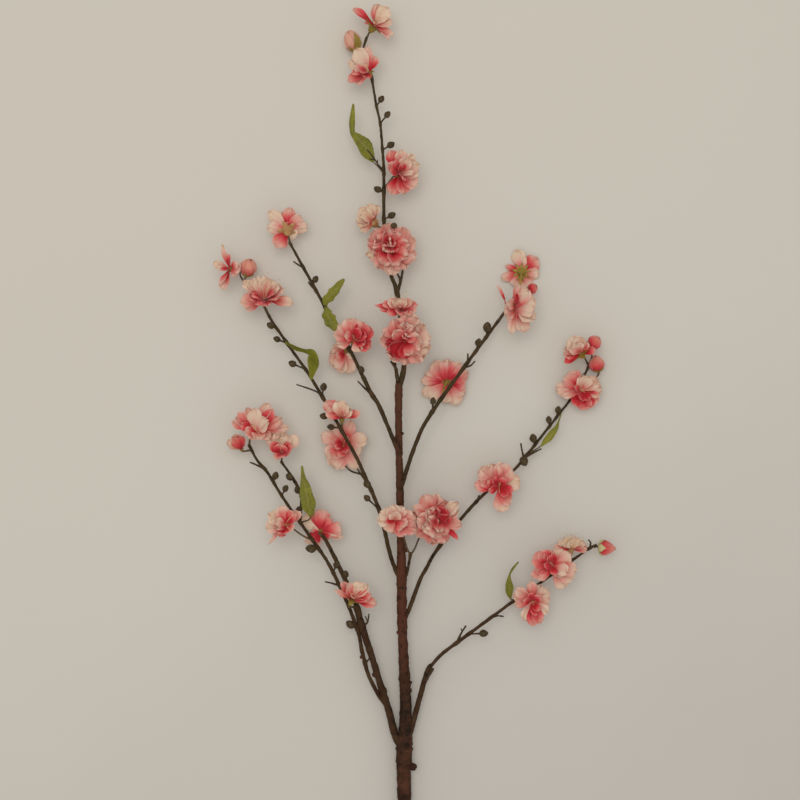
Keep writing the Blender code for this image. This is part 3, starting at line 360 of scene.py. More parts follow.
# The outer petals of each flower, one row for each: direction on the plan in degrees (0 to the
# right, 90 towards the tip of the sprig), reach, half width and rise of the tip in millimetres,
# how far the crimson runs up the petal, and how cream its tip is.
PETALS = {
    "flower_01": (
        (140, 23, 4.8, 3, 0.8, 0.15), (162, 9, 2.3, 1, 0.6, 0.25), (82, 18, 6.3, 6, 0.5, 0.7),
        (48, 19, 6.9, 8, 0.1, 1.15), (5, 16.5, 5, 5, 0.35, 0.6), (-32, 19, 3.2, 3, 0.5, 0.6),
        (-44, 19, 2.8, 6, 0.6, 0.35), (65, 15, 5.3, -3, 0.3, 0.8)),
    "flower_03": (
        (119, 21, 7.4, 8, 0.1, 0.9), (95, 21, 5.2, 5, 0.45, 0.35), (157, 19, 5.6, 3, 0.1, 1),
        (140, 17, 5.5, 2, 0.3, 0.7), (57, 13.5, 4.6, 5, 0.7, 0.2), (204, 20, 5.4, 1, 0.7, 0.25),
        (230, 15.5, 5.4, 2, 0.65, 0.3), (192, 15, 4, 9, 0.9, 0.05), (200, 8, 4.5, 11, 0.95, 0),
        (250, 8, 4.5, 6, 0.85, 0.1), (178, 13, 4.5, 7, 0.6, 0.4)),
    "flower_06": (
        (117, 21.6, 6.3, 3, 0.85, 0.3), (90, 20, 5.8, 6, 0.5, 0.6), (52, 20, 6.6, 4, 0.3, 1),
        (25, 19, 6.6, 4, 0.35, 0.9), (5, 17, 6.6, 4, 0.35, 0.9), (-38, 18, 7.1, 1, 0.55, 0.5),
        (-78, 18, 7.1, 2, 0.7, 0.3), (-112, 19, 6.6, 0, 0.7, 0.3), (145, 12, 5.8, 10, 0.8, 0.2),
        (60, 14, 6.1, 9, 0.45, 0.7), (120, 10, 4.5, 13, 0.9, 0.05), (165, 8, 4.5, 12, 0.95, 0),
        (70, 8, 4, 13, 0.9, 0.05), (-60, 8, 5, 12, 1, 0.1), (-8, 12, 3.6, 15, 0.2, 0.7)),
    "flower_07": (
        (95, 15, 5.3, 3, 0.25, 1.2), (135, 15.5, 5.3, 4, 0.2, 1.2), (170, 14, 5.3, 4, 0.25, 1.2),
        (225, 13, 4.8, 2, 0.4, 1), (65, 15, 4.5, 1, 0.3, 1.2), (115, 12, 5.3, 9, 0.2, 1.2),
        (155, 11, 5.3, 9, 0.25, 1.2), (200, 13, 4.8, 6, 0.35, 1.15)),
    "flower_08": (
        (195, 22.5, 5.8, 0, 0.2, 1.1), (208, 20, 5, 0, 0.3, 0.9), (165, 21, 8.4, 2, 0.7, 0.3),
        (132, 22, 9, 3, 0.7, 0.3), (95, 22.5, 8.4, 2, 0.65, 0.3), (58, 21.5, 9, 3, 0.65, 0.3),
        (18, 22.5, 8.4, 1, 0.6, 0.35), (-20, 22.5, 9, 2, 0.6, 0.4), (-55, 21.5, 8.4, 2, 0.6, 0.4),
        (-90, 22.5, 8.4, 0, 0.5, 0.6), (-128, 21, 8.4, 1, 0.6, 0.45), (147, 16, 7.9, 8, 0.8, 0.2),
        (105, 16, 7.9, 9, 0.75, 0.2), (60, 16, 7.9, 8, 0.7, 0.3), (15, 16, 7.9, 9, 0.7, 0.3),
        (-30, 16, 7.9, 8, 0.7, 0.3), (-75, 16, 7.9, 9, 0.7, 0.2), (-120, 16, 7.9, 8, 0.7, 0.3),
        (182, 16, 7.9, 8, 0.75, 0.25)),
    "flower_10": (
        (173, 22, 2.8, 3, 0.95, 0.1), (183, 17, 3.8, 4, 0.9, 0.15), (163, 16, 4.2, 6, 0.85, 0.2),
        (148, 13, 4.6, 7, 0.55, 0.45), (120, 10.5, 5, 6, 0.3, 0.8), (90, 10, 5, 7, 0.25, 0.9),
        (60, 11, 5, 6, 0.35, 0.7), (32, 13.5, 4.6, 6, 0.6, 0.35), (14, 16, 4.2, 5, 0.75, 0.25),
        (-6, 14, 4.6, 7, 0.65, 0.25), (203, 11, 4.6, 9, 0.85, 0.15), (-24, 11, 4.6, 9, 0.75, 0.2),
        (-90, 5, 5, 11, 0.8, 0.2)),
    "flower_11": (
        (84, 26, 8.4, 4, 0.55, 0.35), (62, 23, 8, 4, 0.55, 0.35), (38, 22, 8.4, 3, 0.45, 0.45),
        (10, 22.5, 8.7, 2, 0.4, 0.6), (-22, 22.5, 8.7, 2, 0.45, 0.55), (-55, 22.5, 8.2, 1, 0.6, 0.3),
        (-92, 20, 7.9, 1, 0.6, 0.35), (-125, 20, 7.4, 1, 0.55, 0.4), (178, 21.5, 7.4, 2, 0.6, 0.35),
        (150, 22, 7.8, 3, 0.6, 0.3), (118, 22, 8.2, 5, 0.65, 0.3), (212, 18, 7.6, 7, 1.35, 0),
        (192, 17, 6.6, 7, 1.25, 0.05), (238, 17, 7, 7, 1.35, 0), (262, 15, 6, 7, 1.2, 0.05),
        (95, 16, 7.4, 11, 0.6, 0.35), (55, 15, 7.4, 11, 0.55, 0.35), (10, 15, 7.4, 10, 0.5, 0.45),
        (-35, 15, 7.4, 9, 0.6, 0.35), (140, 13, 6.6, 11, 0.65, 0.3), (-70, 13, 6.6, 8, 0.7, 0.25)),
    "flower_12": (
        (130, 23.5, 6.1, -3, 0.2, 1), (86, 20.5, 6.3, -4, 0.7, 0.25), (50, 17, 5.8, -3, 0.5, 0.35),
        (10, 17.5, 5.8, -5, 0.3, 0.65), (172, 18, 6.1, -4, 0.3, 0.55), (235, 17.5, 7.4, 1, 0.6, 0.25),
        (-38, 9, 5.3, -3, 0.1, 1), (108, 17, 5.3, -8, 0.4, 0.55), (30, 15, 5.3, -8, 0.4, 0.45)),
    "flower_13": (
        (25, 18, 7.9, 3, 1.05, 0.1), (55, 17, 7.1, 4, 0.9, 0.2), (85, 18, 7, 4, 0.65, 0.4),
        (112, 19, 7.2, 4, 0.55, 0.5), (138, 18, 6.5, 4, 0.55, 0.5), (160, 18, 6.9, 3, 0.55, 0.5),
        (196, 15, 5.8, 2, 0.45, 0.65), (-28, 16, 6.9, 2, 0.95, 0.25), (-70, 12, 5.2, 5, 0.35, 0.7),
        (15, 11, 5.4, 9, 1.1, 0), (58, 10, 5.4, 9, 1.05, 0), (-25, 10, 5, 8, 1.05, 0),
        (150, 9, 5, 9, 0.65, 0.3)),
    "flower_13_low": (
        (182, 13, 7.1, 1, 0.35, 0.7), (-65, 17.5, 6.6, 0, 0.25, 0.7), (225, 16, 7.4, 1, 0.4, 0.6),
        (245, 15, 7, 1, 0.35, 0.65), (140, 12, 5.8, 2, 0.45, 0.5), (-100, 17, 6.1, 1, 0.25, 0.7),
        (200, 8, 4.5, 5, 0.7, 0.3), (-20, 9, 3, 6, -0.15, 1.2)),
    "flower_14": (
        (188, 21, 6.9, -1, 0.6, 0.75), (212, 18, 4.5, -2, 0.6, 0.7), (-8, 24.5, 6.1, -1, 0.55, 1.05),
        (27, 19, 7.1, 3, 0.6, 0.6), (48, 18, 6.2, 4, 0.45, 0.8), (66, 19, 6.2, 4, 0.4, 0.95),
        (88, 20, 6, 5, 0.35, 1), (108, 20.5, 6.2, 5, 0.35, 1.05), (128, 21, 6, 4, 0.4, 1),
        (140, 24, 5.4, 3, 0.35, 1.1), (180, 12, 5.6, 13, 0.9, 0.1), (0, 13, 5.6, 13, 0.9, 0.1),
        (-90, 5.5, 5.6, 15, 1, 0), (-125, 8, 4.7, 14, 0.95, 0), (-55, 8, 4.7, 14, 0.95, 0),
        (155, 10, 5, 14, 1, 0.15), (28, 10, 5, 14, 1, 0.15)),
    "flower_15": (
        (108, 22, 3, 2, 0.45, 0.7), (160, 15, 4, 4, 0.3, 0.8), (176, 12, 3, 5, 0.4, 0.7),
        (252, 19, 4.6, 1, 0.55, 0.65), (240, 16, 3.6, 3, 0.65, 0.4), (90, 12, 3.1, 7, 0.9, 0.1),
        (265, 13, 3.4, 6, 0.9, 0.1), (200, 7, 3, 8, 1, 0.1), (0, 10, 5.4, 4, 0.5, 0.4),
        (30, 9, 4, 4, 0.5, 0.4), (-35, 9, 4, 3, 0.45, 0.5)),
    "flower_17": (
        (140, 20, 6.9, 2, 0.7, 0.4), (102, 15, 7.1, 5, 0.3, 0.95), (68, 13, 6.1, 5, 0.3, 0.95),
        (10, 16.5, 4.5, 3, 0.75, 0.3), (160, 14, 5.8, 8, 0.65, 0.5), (35, 11, 5.3, 7, 0.45, 0.8)),
    "flower_18": (
        (156, 21.5, 6.3, 3, 0.4, 0.6), (211, 19, 6.6, 1, 0.45, 0.55), (240, 22, 8.8, 0, 0.45, 0.6),
        (258, 23, 8.2, 1, 0.5, 0.55), (-60, 24.5, 6.6, 1, 0.4, 0.7), (17, 21.5, 7.1, 3, 0.35, 0.8),
        (70, 22, 6.1, 3, 0.5, 0.5), (120, 19, 6.1, 4, 0.35, 0.6), (-20, 17, 6.6, 4, 0.4, 0.7),
        (228, 15, 5.8, 6, 0.75, 0.35), (200, 8, 4, 8, 0.9, 0.1), (-108, 12, 4.1, 8, 0.9, 0.1),
        (165, 10, 3.6, 8, 0.85, 0.1), (-75, 8, 4, 8, 0.85, 0.1), (60, 7, 4, 8, 0.8, 0.2)),
    "flower_19": (
        (93, 20.5, 6.6, 9, 0.1, 0.75), (33, 15, 6, 12, 0.1, 0.7), (60, 15, 5, 10, 0.35, 0.5),
        (54, 24.5, 5.6, 6, 0.9, 0.1), (70, 27, 6.4, 3, 0.4, 0.5), (115, 23, 5, 3, 0.6, 0.3),
        (133, 23, 4.6, 3, 0.75, 0.2), (148, 22, 4.4, 2, 0.7, 0.3), (160, 23.5, 4.6, 1, 0.7, 0.25),
        (155, 14.5, 4.8, 6, 0.95, 0), (11, 28, 6.4, 1, 0.45, 0.4), (29, 25, 6, 3, 0.55, 0.3),
        (-4, 20.5, 5.4, 2, 0.5, 0.45), (-22, 13, 4.8, 5, 0.5, 0.4), (234, 8, 5, 7, 0.45, 0.4),
        (-45, 8.5, 5, 8, 0.5, 0.35), (180, 10, 4.6, 6, 0.6, 0.3), (-90, 6, 5, 9, 0.35, 0.5)),
    "flower_21": (
        (92, 20, 7.2, 3, -0.05, 0.75), (127, 19.5, 6.2, 2, 0, 0.75), (44, 20.5, 5.8, 2, 0.1, 0.55),
        (70, 17, 5.5, 4, 0, 0.7), (139, 12.7, 5.2, 8, 0.9, 0), (97, 7.5, 6.6, 10, 0.85, 0),
        (38, 12.5, 5.2, 8, 0.9, 0), (221, 7.6, 3.6, 4, 0.5, 0.15), (-10, 7, 3.8, 5, 0.7, 0.1),
        (-80, 4, 4.5, 8, 0.75, 0.05)),
    "flower_22": (
        (185, 17, 7.7, 2, 0.4, 0.8), (142, 17.5, 7.1, 4, 0.25, 1.1), (102, 17, 6.3, 5, 0.5, 0.55),
        (52, 14, 5.8, 7, 0.8, 0.25), (37, 17.5, 5, 3, 0.55, 0.45), (228, 22, 2.1, 0, 0.45, 0.55),
        (247, 11, 5.2, 5, 0.95, 0), (212, 13, 4.8, 3, 0.7, 0.45), (-30, 8, 4.5, 4, 0.6, 0.65),
        (225, 9, 5, 8, 1, 0), (268, 8, 5, 7, 1, 0), (200, 8, 4.5, 9, 0.7, 0.3),
        (160, 9, 5, 8, 0.35, 0.7)),
    "flower_23": (
        (92, 18.5, 9.2, 1, 0.6, 0.2), (0, 18.5, 7.9, 0, 0.6, 0.2), (48, 14, 7, -2, 0.75, 0.1),
        (-20, 20.5, 3.4, -2, 0.15, 0.9), (145, 20, 6.6, -2, -0.05, 1.2), (225, 11, 6.1, 1, 0.9, 0.05),
        (218, 17, 4.5, -3, 0.25, 0.6), (256, 18, 3, -4, 0.25, 0.6), (-50, 10, 4.5, -1, 0.85, 0.05),
        (180, 7, 4.5, -1, 0.7, 0.2)),
    "flower_24": (
        (123, 18.5, 5, 3, 0.75, 0.2), (154, 17, 2.8, 1, 0.45, 0.5), (103, 15, 5.8, 7, 0.55, 0.3),
        (74, 17, 5.8, 4, 0.2, 0.85), (43, 19, 5.8, 3, 0.25, 0.75), (13, 17, 5.8, 5, 0.8, 0.2),
        (-11, 21.5, 5, 2, 0.65, 0.4), (0, 13, 4.5, 8, 0.9, 0.1)),
    "flower_25": (
        (176, 22.5, 5, 0, 0.6, 0.9), (155, 20.5, 5.8, -1, 0.55, 0.5), (120, 21.5, 8.2, 0, 0.5, 0.5),
        (86, 20, 7.7, 1, 0.55, 0.35), (58, 21, 6.9, 0, 0.6, 0.35), (25, 21.5, 6.3, -1, 0.65, 0.5),
        (-8, 16.5, 6.9, 1, 0.8, 0.25), (-35, 19, 6.9, 0, 0.55, 0.5), (-62, 21.5, 7.7, 0, 0.45, 0.8),
        (-98, 18, 6.9, 1, 0.5, 0.65), (-140, 20, 6.3, 0, 0.4, 0.8), (-157, 24, 5.5, -1, 0.3, 0.9)),
    "flower_26": (
        (38, 18, 9.2, 5, 0.1, 0.5), (2, 16, 9.8, 6, 0.1, 0.5), (-34, 19, 9, 5, 0.1, 0.5),
        (80, 20.5, 6.8, 3, 0.55, 0.25), (60, 19, 6.4, 5, 0.35, 0.35), (-70, 22, 7.4, 2, 0.3, 0.45),
        (-102, 22.5, 4.6, 1, 0.35, 0.45), (150, 9, 5.6, 6, 0.35, 0.45), (185, 10.5, 6, 4, 0.35, 0.5),
        (218, 11.5, 5.4, 3, 0.35, 0.5), (-125, 14, 5, 3, 0.45, 0.4), (95, 12, 2, 14, 1.5, 0),
        (-92, 11, 2, 14, 1.45, 0), (80, 5, 2.2, 15, 1.45, 0)),
    "flower_27": (
        (97, 20, 7.1, -1, 0.35, 1.2), (41, 19, 7.7, 0, 0.7, 0.35), (-14, 15.5, 7.4, -1, 0.4, 0.8),
        (155, 14.5, 3, 0, 0.8, 0.25), (197, 18, 4.8, 0, 0.55, 0.5), (72, 14, 2.8, 1, 0.4, 0.9),
        (-62, 14, 5.3, -2, 0.5, 0.5), (-115, 14, 5.3, -2, 0.45, 0.65)),
    "flower_28": (
        (-70, 17, 8.5, 2, 0.9, 0.1), (-105, 14.5, 7, 3, 0.95, 0.1), (-35, 17.5, 7.5, 3, 0.7, 0.25),
        (0, 17.5, 7.5, 3, 0.3, 0.65), (35, 17, 7, 4, 0.25, 0.7), (80, 14, 5, 8, 0.2, 0.8),
        (58, 13, 4.4, 9, 0.2, 0.8), (100, 12.5, 4.4, 8, 0.3, 0.7), (125, 20, 7.5, 2, 0.6, 0.3),
        (145, 20, 7, 3, 0.6, 0.3), (178, 23, 6.5, 1, 0.4, 0.5), (195, 18, 5.5, 3, 0.4, 0.55),
        (-90, 9, 5.6, 9, 1.15, 0), (-58, 9.5, 5, 9, 1.1, 0), (155, 8, 3.2, 9, 0.9, 0.1)),
    "flower_29": (
        (118, 16.5, 7, 3, 0.25, 0.95), (95, 14.5, 6, 4, 0.3, 0.9), (142, 16, 6.5, 3, 0.3, 0.85),
        (165, 15, 6, 2, 0.55, 0.5), (188, 15.5, 5.5, 3, 0.7, 0.4), (208, 17, 3.8, 5, 1.1, 0.05),
        (150, 11, 6, 8, 0.45, 0.6), (120, 10, 5.5, 9, 0.4, 0.65), (15, 12.5, 4, 4, 0.9, 0.1),
        (60, 11, 4, 5, 0.7, 0.4)),
    "flower_30": (
        (136, 23, 9, 1, 0.5, 0.45), (112, 20.5, 7.5, 3, 0.5, 0.4), (78, 21.5, 8.5, 2, 0.5, 0.35),
        (52, 18.5, 6, 3, 0.45, 0.4), (178, 22, 5.5, 3, 0.75, 0.3), (163, 17, 4.5, 5, 0.7, 0.3),
        (14, 18.5, 7.5, 1, 0.1, 1.15), (-86, 22.5, 7.5, 0, 0.4, 0.5), (-62, 18.5, 5.5, 3, 0.65, 0.35),
        (-42, 14.5, 3.6, 6, 0.9, 0.1), (120, 9, 4.5, 8, 1, 0), (-15, 12, 4.5, 8, 1, 0),
        (-58, 11, 3.6, 8, 0.95, 0), (200, 10, 4, 8, 0.95, 0), (62, 9, 4, 8, 0.95, 0),
        (160, 12, 4, 7, 0.9, 0.1)),
    "flower_31": (
        (118, 26, 8.2, 3, 0.6, 0.4), (95, 24, 7.4, 4, 0.6, 0.4), (70, 20, 6.6, 5, 0.7, 0.3),
        (-9, 22, 5.5, 3, 0.6, 0.45), (-38, 24, 3, 4, 1.05, 0), (-68, 20, 7.6, 1, 0.7, 0.3),
        (-109, 21, 7.2, 2, 0.7, 0.3), (-90, 19, 7, 3, 0.7, 0.3), (172, 18, 8, 9, 0.55, 0.4),
        (193, 24, 7.1, 2, 0.7, 0.3), (215, 22, 7.1, 2, 0.7, 0.3), (145, 24, 7.4, 4, 0.6, 0.4),
        (168, 24.5, 6.6, 2, 0.6, 0.4), (42, 24.5, 5.6, 9, 0.25, 0.8), (24, 21, 4.4, 6, 0.45, 0.6),
        (62, 13.5, 7.6, 14, 1.35, 0), (28, 13, 6.8, 13, 1.3, 0), (100, 13, 6.6, 12, 0.85, 0.2),
        (128, 14, 7.1, 12, 0.55, 0.4), (-100, 14, 7.1, 9, 0.6, 0.4), (-150, 15, 7.1, 9, 0.55, 0.45),
        (-50, 14, 6.3, 8, 0.7, 0.3), (200, 11, 6, 12, 0.55, 0.4), (-75, 9, 5.5, 13, 0.6, 0.35),
        (165, 9, 5.5, 14, 0.6, 0.35)),
    "flower_32": (
        (180, 15.5, 6.5, 2, 0.25, 0.8), (152, 15, 6, 3, 0.25, 0.8), (118, 13.5, 6, 3, 0.25, 0.75),
        (90, 13.5, 6, 3, 0.3, 0.7), (60, 13.5, 6, 3, 0.35, 0.55), (22, 16, 6, 3, 0.55, 0.4),
        (0, 17.5, 6, 2, 0.6, 0.35), (-28, 20, 6.6, 1, 0.65, 0.3), (-55, 15.5, 6.4, 2, 0.7, 0.25),
        (-85, 11.5, 5.4, 2, 0.65, 0.3), (225, 12, 5.5, 2, 0.4, 0.5), (185, 8.5, 2.4, 8, 1.05, 0),
        (-15, 11, 4.6, 8, 0.55, 0.35), (-50, 9, 4.6, 8, 0.7, 0.25), (60, 8, 4.5, 8, 0.25, 0.7),
        (115, 8, 4.5, 8, 0.25, 0.7)),
    "flower_33": (
        (157, 20, 7.5, 3, 0.75, 0.25), (135, 17.5, 7, 4, 0.8, 0.2), (113, 14, 6, 5, 0.75, 0.25),
        (66, 16, 7, 3, 0.3, 0.6), (36, 18, 6.5, 3, 0.4, 0.5), (-10, 21, 7, 1, 0.5, 0.5),
        (-38, 21, 7.5, 1, 0.45, 0.6), (-65, 22, 7.5, 0, 0.4, 0.75), (-22, 12.5, 6.5, 10, 0.25, 0.5),
        (-62, 11, 5, 9, 0.45, 0.4), (204, 21, 4.5, 2, 0.8, 0.3), (220, 18, 4, 3, 0.65, 0.4),
        (190, 17, 4.5, 4, 0.8, 0.2), (95, 10.5, 3.6, 9, 1.1, 0), (122, 10, 3.6, 9, 1.05, 0),
        (-95, 7, 3.6, 10, 1, 0), (170, 9, 3.6, 9, 1.05, 0.1)),
    "flower_34": (
        (95, 9.5, 6.6, 5, -0.1, 1.2), (130, 11, 5.8, 2, -0.05, 1.2), (55, 11, 5.8, 2, -0.05, 1.2),
        (172, 15.5, 3.4, 3, 0.5, 0.35), (4, 15, 3.2, 3, 0.55, 0.35), (188, 13, 3.2, 5, 0.6, 0.3),
        (-8, 13, 3.2, 5, 0.6, 0.3), (155, 13, 4.2, 1, 0.2, 0.8), (25, 13, 4.2, 1, 0.25, 0.7)),
    "flower_35": (
        (96, 18.5, 4.6, 3, 0.5, 0.35), (140, 19, 5.5, 3, 0.45, 0.4), (156, 18.5, 5, 2, 0.4, 0.45),
        (188, 15.5, 4.5, 3, 0.55, 0.35), (248, 18, 6.6, 1, 0.15, 0.85), (-90, 21, 5.4, 2, 0.85, 0.2),
        (-70, 20, 5.4, 2, 0.8, 0.25), (-40, 16.5, 6.3, 2, 0.3, 0.7), (10, 15, 6, 2, 0.3, 0.6),
        (40, 17, 6.6, 2, 0.3, 0.55), (66, 16, 5, 3, 0.35, 0.5), (112, 9, 3.6, 8, 0.95, 0),
        (-82, 12, 4, 7, 1, 0), (-60, 9, 3.6, 8, 0.95, 0), (172, 9, 3.6, 8, 0.9, 0),
        (50, 8, 4, 8, 0.85, 0.1)),
    "bud_20": (
        (100, 12, 5.2, 6, 0.7, 0.05), (74, 11.5, 4.6, 6, 0.75, 0), (126, 11.5, 4.6, 5, 0.5, 0.1),
        (148, 14, 4.4, 2, 0, 0.9), (163, 11.5, 3.6, 1, 0.05, 0.9), (112, 14, 4.5, 2, 0.3, 0.4)),
}

# What else sets a flower or a bud apart. calyx is the calyx's colour, cup the width and length of
# its cup as shares of the usual ones, sepals their reach and points their number. heart names a row
# of HEARTS, heart_at is how far off the middle that heart stands, frill how ruffled the outer petals
# are, and shift how far the flower's middle lies from its centre above. stamens holds their number,
# their length as a share of the radius and their spread in degrees.
DETAILS = {
    "flower_01": dict(calyx="yellow", cup=(1.7, 1.1), sepals=6.0, stamens=(12, 0.7, 45)),
    "flower_03": dict(heart="none", shift=(1, -5), stamens=(8, 0.5, 40)),
    "flower_06": dict(heart="none", stamens=(5, 0.35, 40)),
    "flower_07": dict(calyx="brown", cup=(1.7, 1.2), sepals=4.5, stamens=(16, 0.8, 70)),
    "flower_08": dict(heart="double", frill=2.2, heart_at=(0, 5), stamens=(0, 0, 0)),
    "flower_10": dict(stamens=(16, 0.75, 75)),
    "flower_11": dict(heart="double", frill=2.0, heart_at=(1, 9), stamens=(0, 0, 0)),
    "flower_12": dict(calyx="brown", cup=(1.9, 1.5), sepals=4.0),
    "flower_13": dict(heart="none", stamens=(5, 0.3, 40)),
    "flower_13_low": dict(heart="none", stamens=(0, 0, 0)),
    "flower_14": dict(heart="none", stamens=(16, 0.85, 50)),
    "flower_15": dict(heart="none", stamens=(5, 0.4, 50)),
    "flower_17": dict(stamens=(18, 0.75, 60)),
    "flower_18": dict(heart="none", stamens=(5, 0.25, 40)),
    "flower_19": dict(heart="none", shift=(1.8, -6.2), stamens=(7, 0.35, 60)),
    "flower_21": dict(heart="none", shift=(1.7, -2.4), stamens=(6, 0.9, 30)),
    "flower_22": dict(heart="none", stamens=(12, 0.7, 70)),
    "flower_23": dict(heart="none", cup=(0.6, 0.6), sepals=3.0),
    "flower_24": dict(calyx="yellow", cup=(1.2, 1.0), sepals=7.0, stamens=(20, 0.85, 55)),
    "flower_25": dict(sepals=6.0),
    "flower_26": dict(heart="none", stamens=(0, 0, 0)),
    "flower_27": dict(calyx="yellow", cup=(1.4, 0.5), sepals=6.0, points=9),
    "flower_28": dict(heart="none", stamens=(8, 0.4, 50)),
    "flower_29": dict(heart="none", calyx="yellow", cup=(1.3, 1.0), sepals=8.0,
                      stamens=(8, 0.7, 50)),
    "flower_30": dict(heart="none", stamens=(5, 0.3, 50)),
    "flower_31": dict(frill=2.0, heart_at=(-4, -3), stamens=(0, 0, 0)),
    "flower_32": dict(heart="none", stamens=(4, 0.3, 50)),
    "flower_33": dict(heart="none", stamens=(5, 0.3, 50)),
    "flower_34": dict(heart="none", calyx="brown", stamens=(18, 0.9, 50)),
    "flower_35": dict(heart="none", stamens=(6, 0.3, 50)),
    "bud_20": dict(heart="none", cup=(0.7, 0.4), sepals=2.5),
    "bud_36": dict(calyx="pale"),
}

# Each closed bud: how far the crimson runs up it, how cream its tip is, how near its tip the
# widest part lies (over 1 for blunt, under 1 for pointed), and the reach of its sepals and of the
# one on its right as shares of its length.
BUD_LOOKS = {
    "bud_02": (-0.05, 0.35, 1.1, 0.35, 0.85), "bud_16": (0.2, 0.1, 1.15, 0.3, 0.3),
    "bud_27": (0.75, 0, 1.1, 0.3, 0.3), "bud_29_left": (0.75, 0, 1.1, 0.3, 0.3),
    "bud_29_right": (0.5, 0.05, 0.9, 0.25, 0.3), "bud_36": (0.6, 0, 0.62, 0.35, 0.4),
}

# --- Materials ---------------------------------------------------------------------------------


def linear(value):
    """A share of full brightness on a screen as the share of light that it stands for."""
    return ((value + 0.055) / 1.055) ** 2.4 if value > 0.04045 else value / 12.92


def tone(red, green, blue):
    """A colour as it looks on a screen, 0 to 255, as the values that a shader takes."""
    return (*(linear(value / 255) for value in (red, green, blue)), 1)


def new_material(name, roughness, **values):
    """A material, its node tree and its shader, with plain numbers set on the shader's sockets."""
    made = bpy.data.materials.new(name)
    made.use_nodes = True
    shader = made.node_tree.nodes["Principled BSDF"]
    shader.inputs["Roughness"].default_value = roughness
    for socket, value in values.items():
        shader.inputs[socket.replace("_", " ")].default_value = value
    return made, made.node_tree, shader


def add_node(tree, kind, inputs=None, **settings):
    """A shader node with its settings, its input sockets linked or set."""
    node = tree.nodes.new(kind)
    for key, value in settings.items():
        setattr(node, key, value)
    for key, value in (inputs or {}).items():
        if isinstance(value, bpy.types.NodeSocket):
            tree.links.new(value, node.inputs[key])
        else:
            node.inputs[key].default_value = value
    return node


def math_node(tree, operation, *values, clamp=False):
    """One sum on numbers or sockets."""
    node = add_node(tree, "ShaderNodeMath", dict(enumerate(values)), operation=operation)
    node.use_clamp = clamp
    return node.outputs[0]


def ramp(tree, factor, *stops):
    """A colour ramp; each stop is a place and a colour."""
    node = add_node(tree, "ShaderNodeValToRGB", {"Fac": factor})
    elements = node.color_ramp.elements
    while len(elements) < len(stops):
        elements.new(0.5)
    for element, (place, colour) in zip(elements, stops):
        element.position = place
        element.color = colour
    return node.outputs["Color"]


def mix(tree, factor, first, second):
    """The first colour turning into the second as the factor goes from 0 to 1."""
    node = add_node(tree, "ShaderNodeMix", data_type="RGBA")
    for socket, value in ((0, factor), (6, first), (7, second)):
        if isinstance(value, bpy.types.NodeSocket):
            tree.links.new(value, node.inputs[socket])
        else:
            node.inputs[socket].default_value = value
    return node.outputs[2]


def mottle_group():
    """Uneven colour at two sizes: puts out a value round 0.5."""
    group = bpy.data.node_groups.new("mottle", "ShaderNodeTree")
    face = group.interface
    face.new_socket("Coarse", in_out="INPUT", socket_type="NodeSocketFloat")
    face.new_socket("Fine", in_out="INPUT", socket_type="NodeSocketFloat")
    face.new_socket("Value", in_out="OUTPUT", socket_type="NodeSocketFloat")
    start = group.nodes.new("NodeGroupInput")
    end = group.nodes.new("NodeGroupOutput")
    place = add_node(group, "ShaderNodeTexCoord").outputs["Object"]
    noises = [
        add_node(group, "ShaderNodeTexNoise", {"Vector": place, "Scale": start.outputs[key],
                                               "Detail": 4.0}).outputs["Fac"]
        for key in ("Coarse", "Fine")
    ]
    total = math_node(group, "ADD", math_node(group, "MULTIPLY", noises[0], 0.6),
                      math_node(group, "MULTIPLY", noises[1], 0.4))
    group.links.new(total, end.inputs["Value"])
    return group


MOTTLE = mottle_group()


def mottle(tree, coarse, fine):
    """The uneven value, with its two sizes given as scales."""
    node = add_node(tree, "ShaderNodeGroup", node_tree=MOTTLE)
    node.inputs["Coarse"].default_value = coarse
    node.inputs["Fine"].default_value = fine
    return node.outputs["Value"]


def attribute(tree, name):
    """A number that is kept with the piece's points."""
    return add_node(tree, "ShaderNodeAttribute", attribute_name=name).outputs["Fac"]


def bump(tree, shader, height, strength, distance):
    """Fine relief from a height that changes over the surface."""
    node = add_node(tree, "ShaderNodeBump", {"Height": height, "Strength": strength,
                                             "Distance": distance})
    tree.links.new(node.outputs["Normal"], shader.inputs["Normal"])


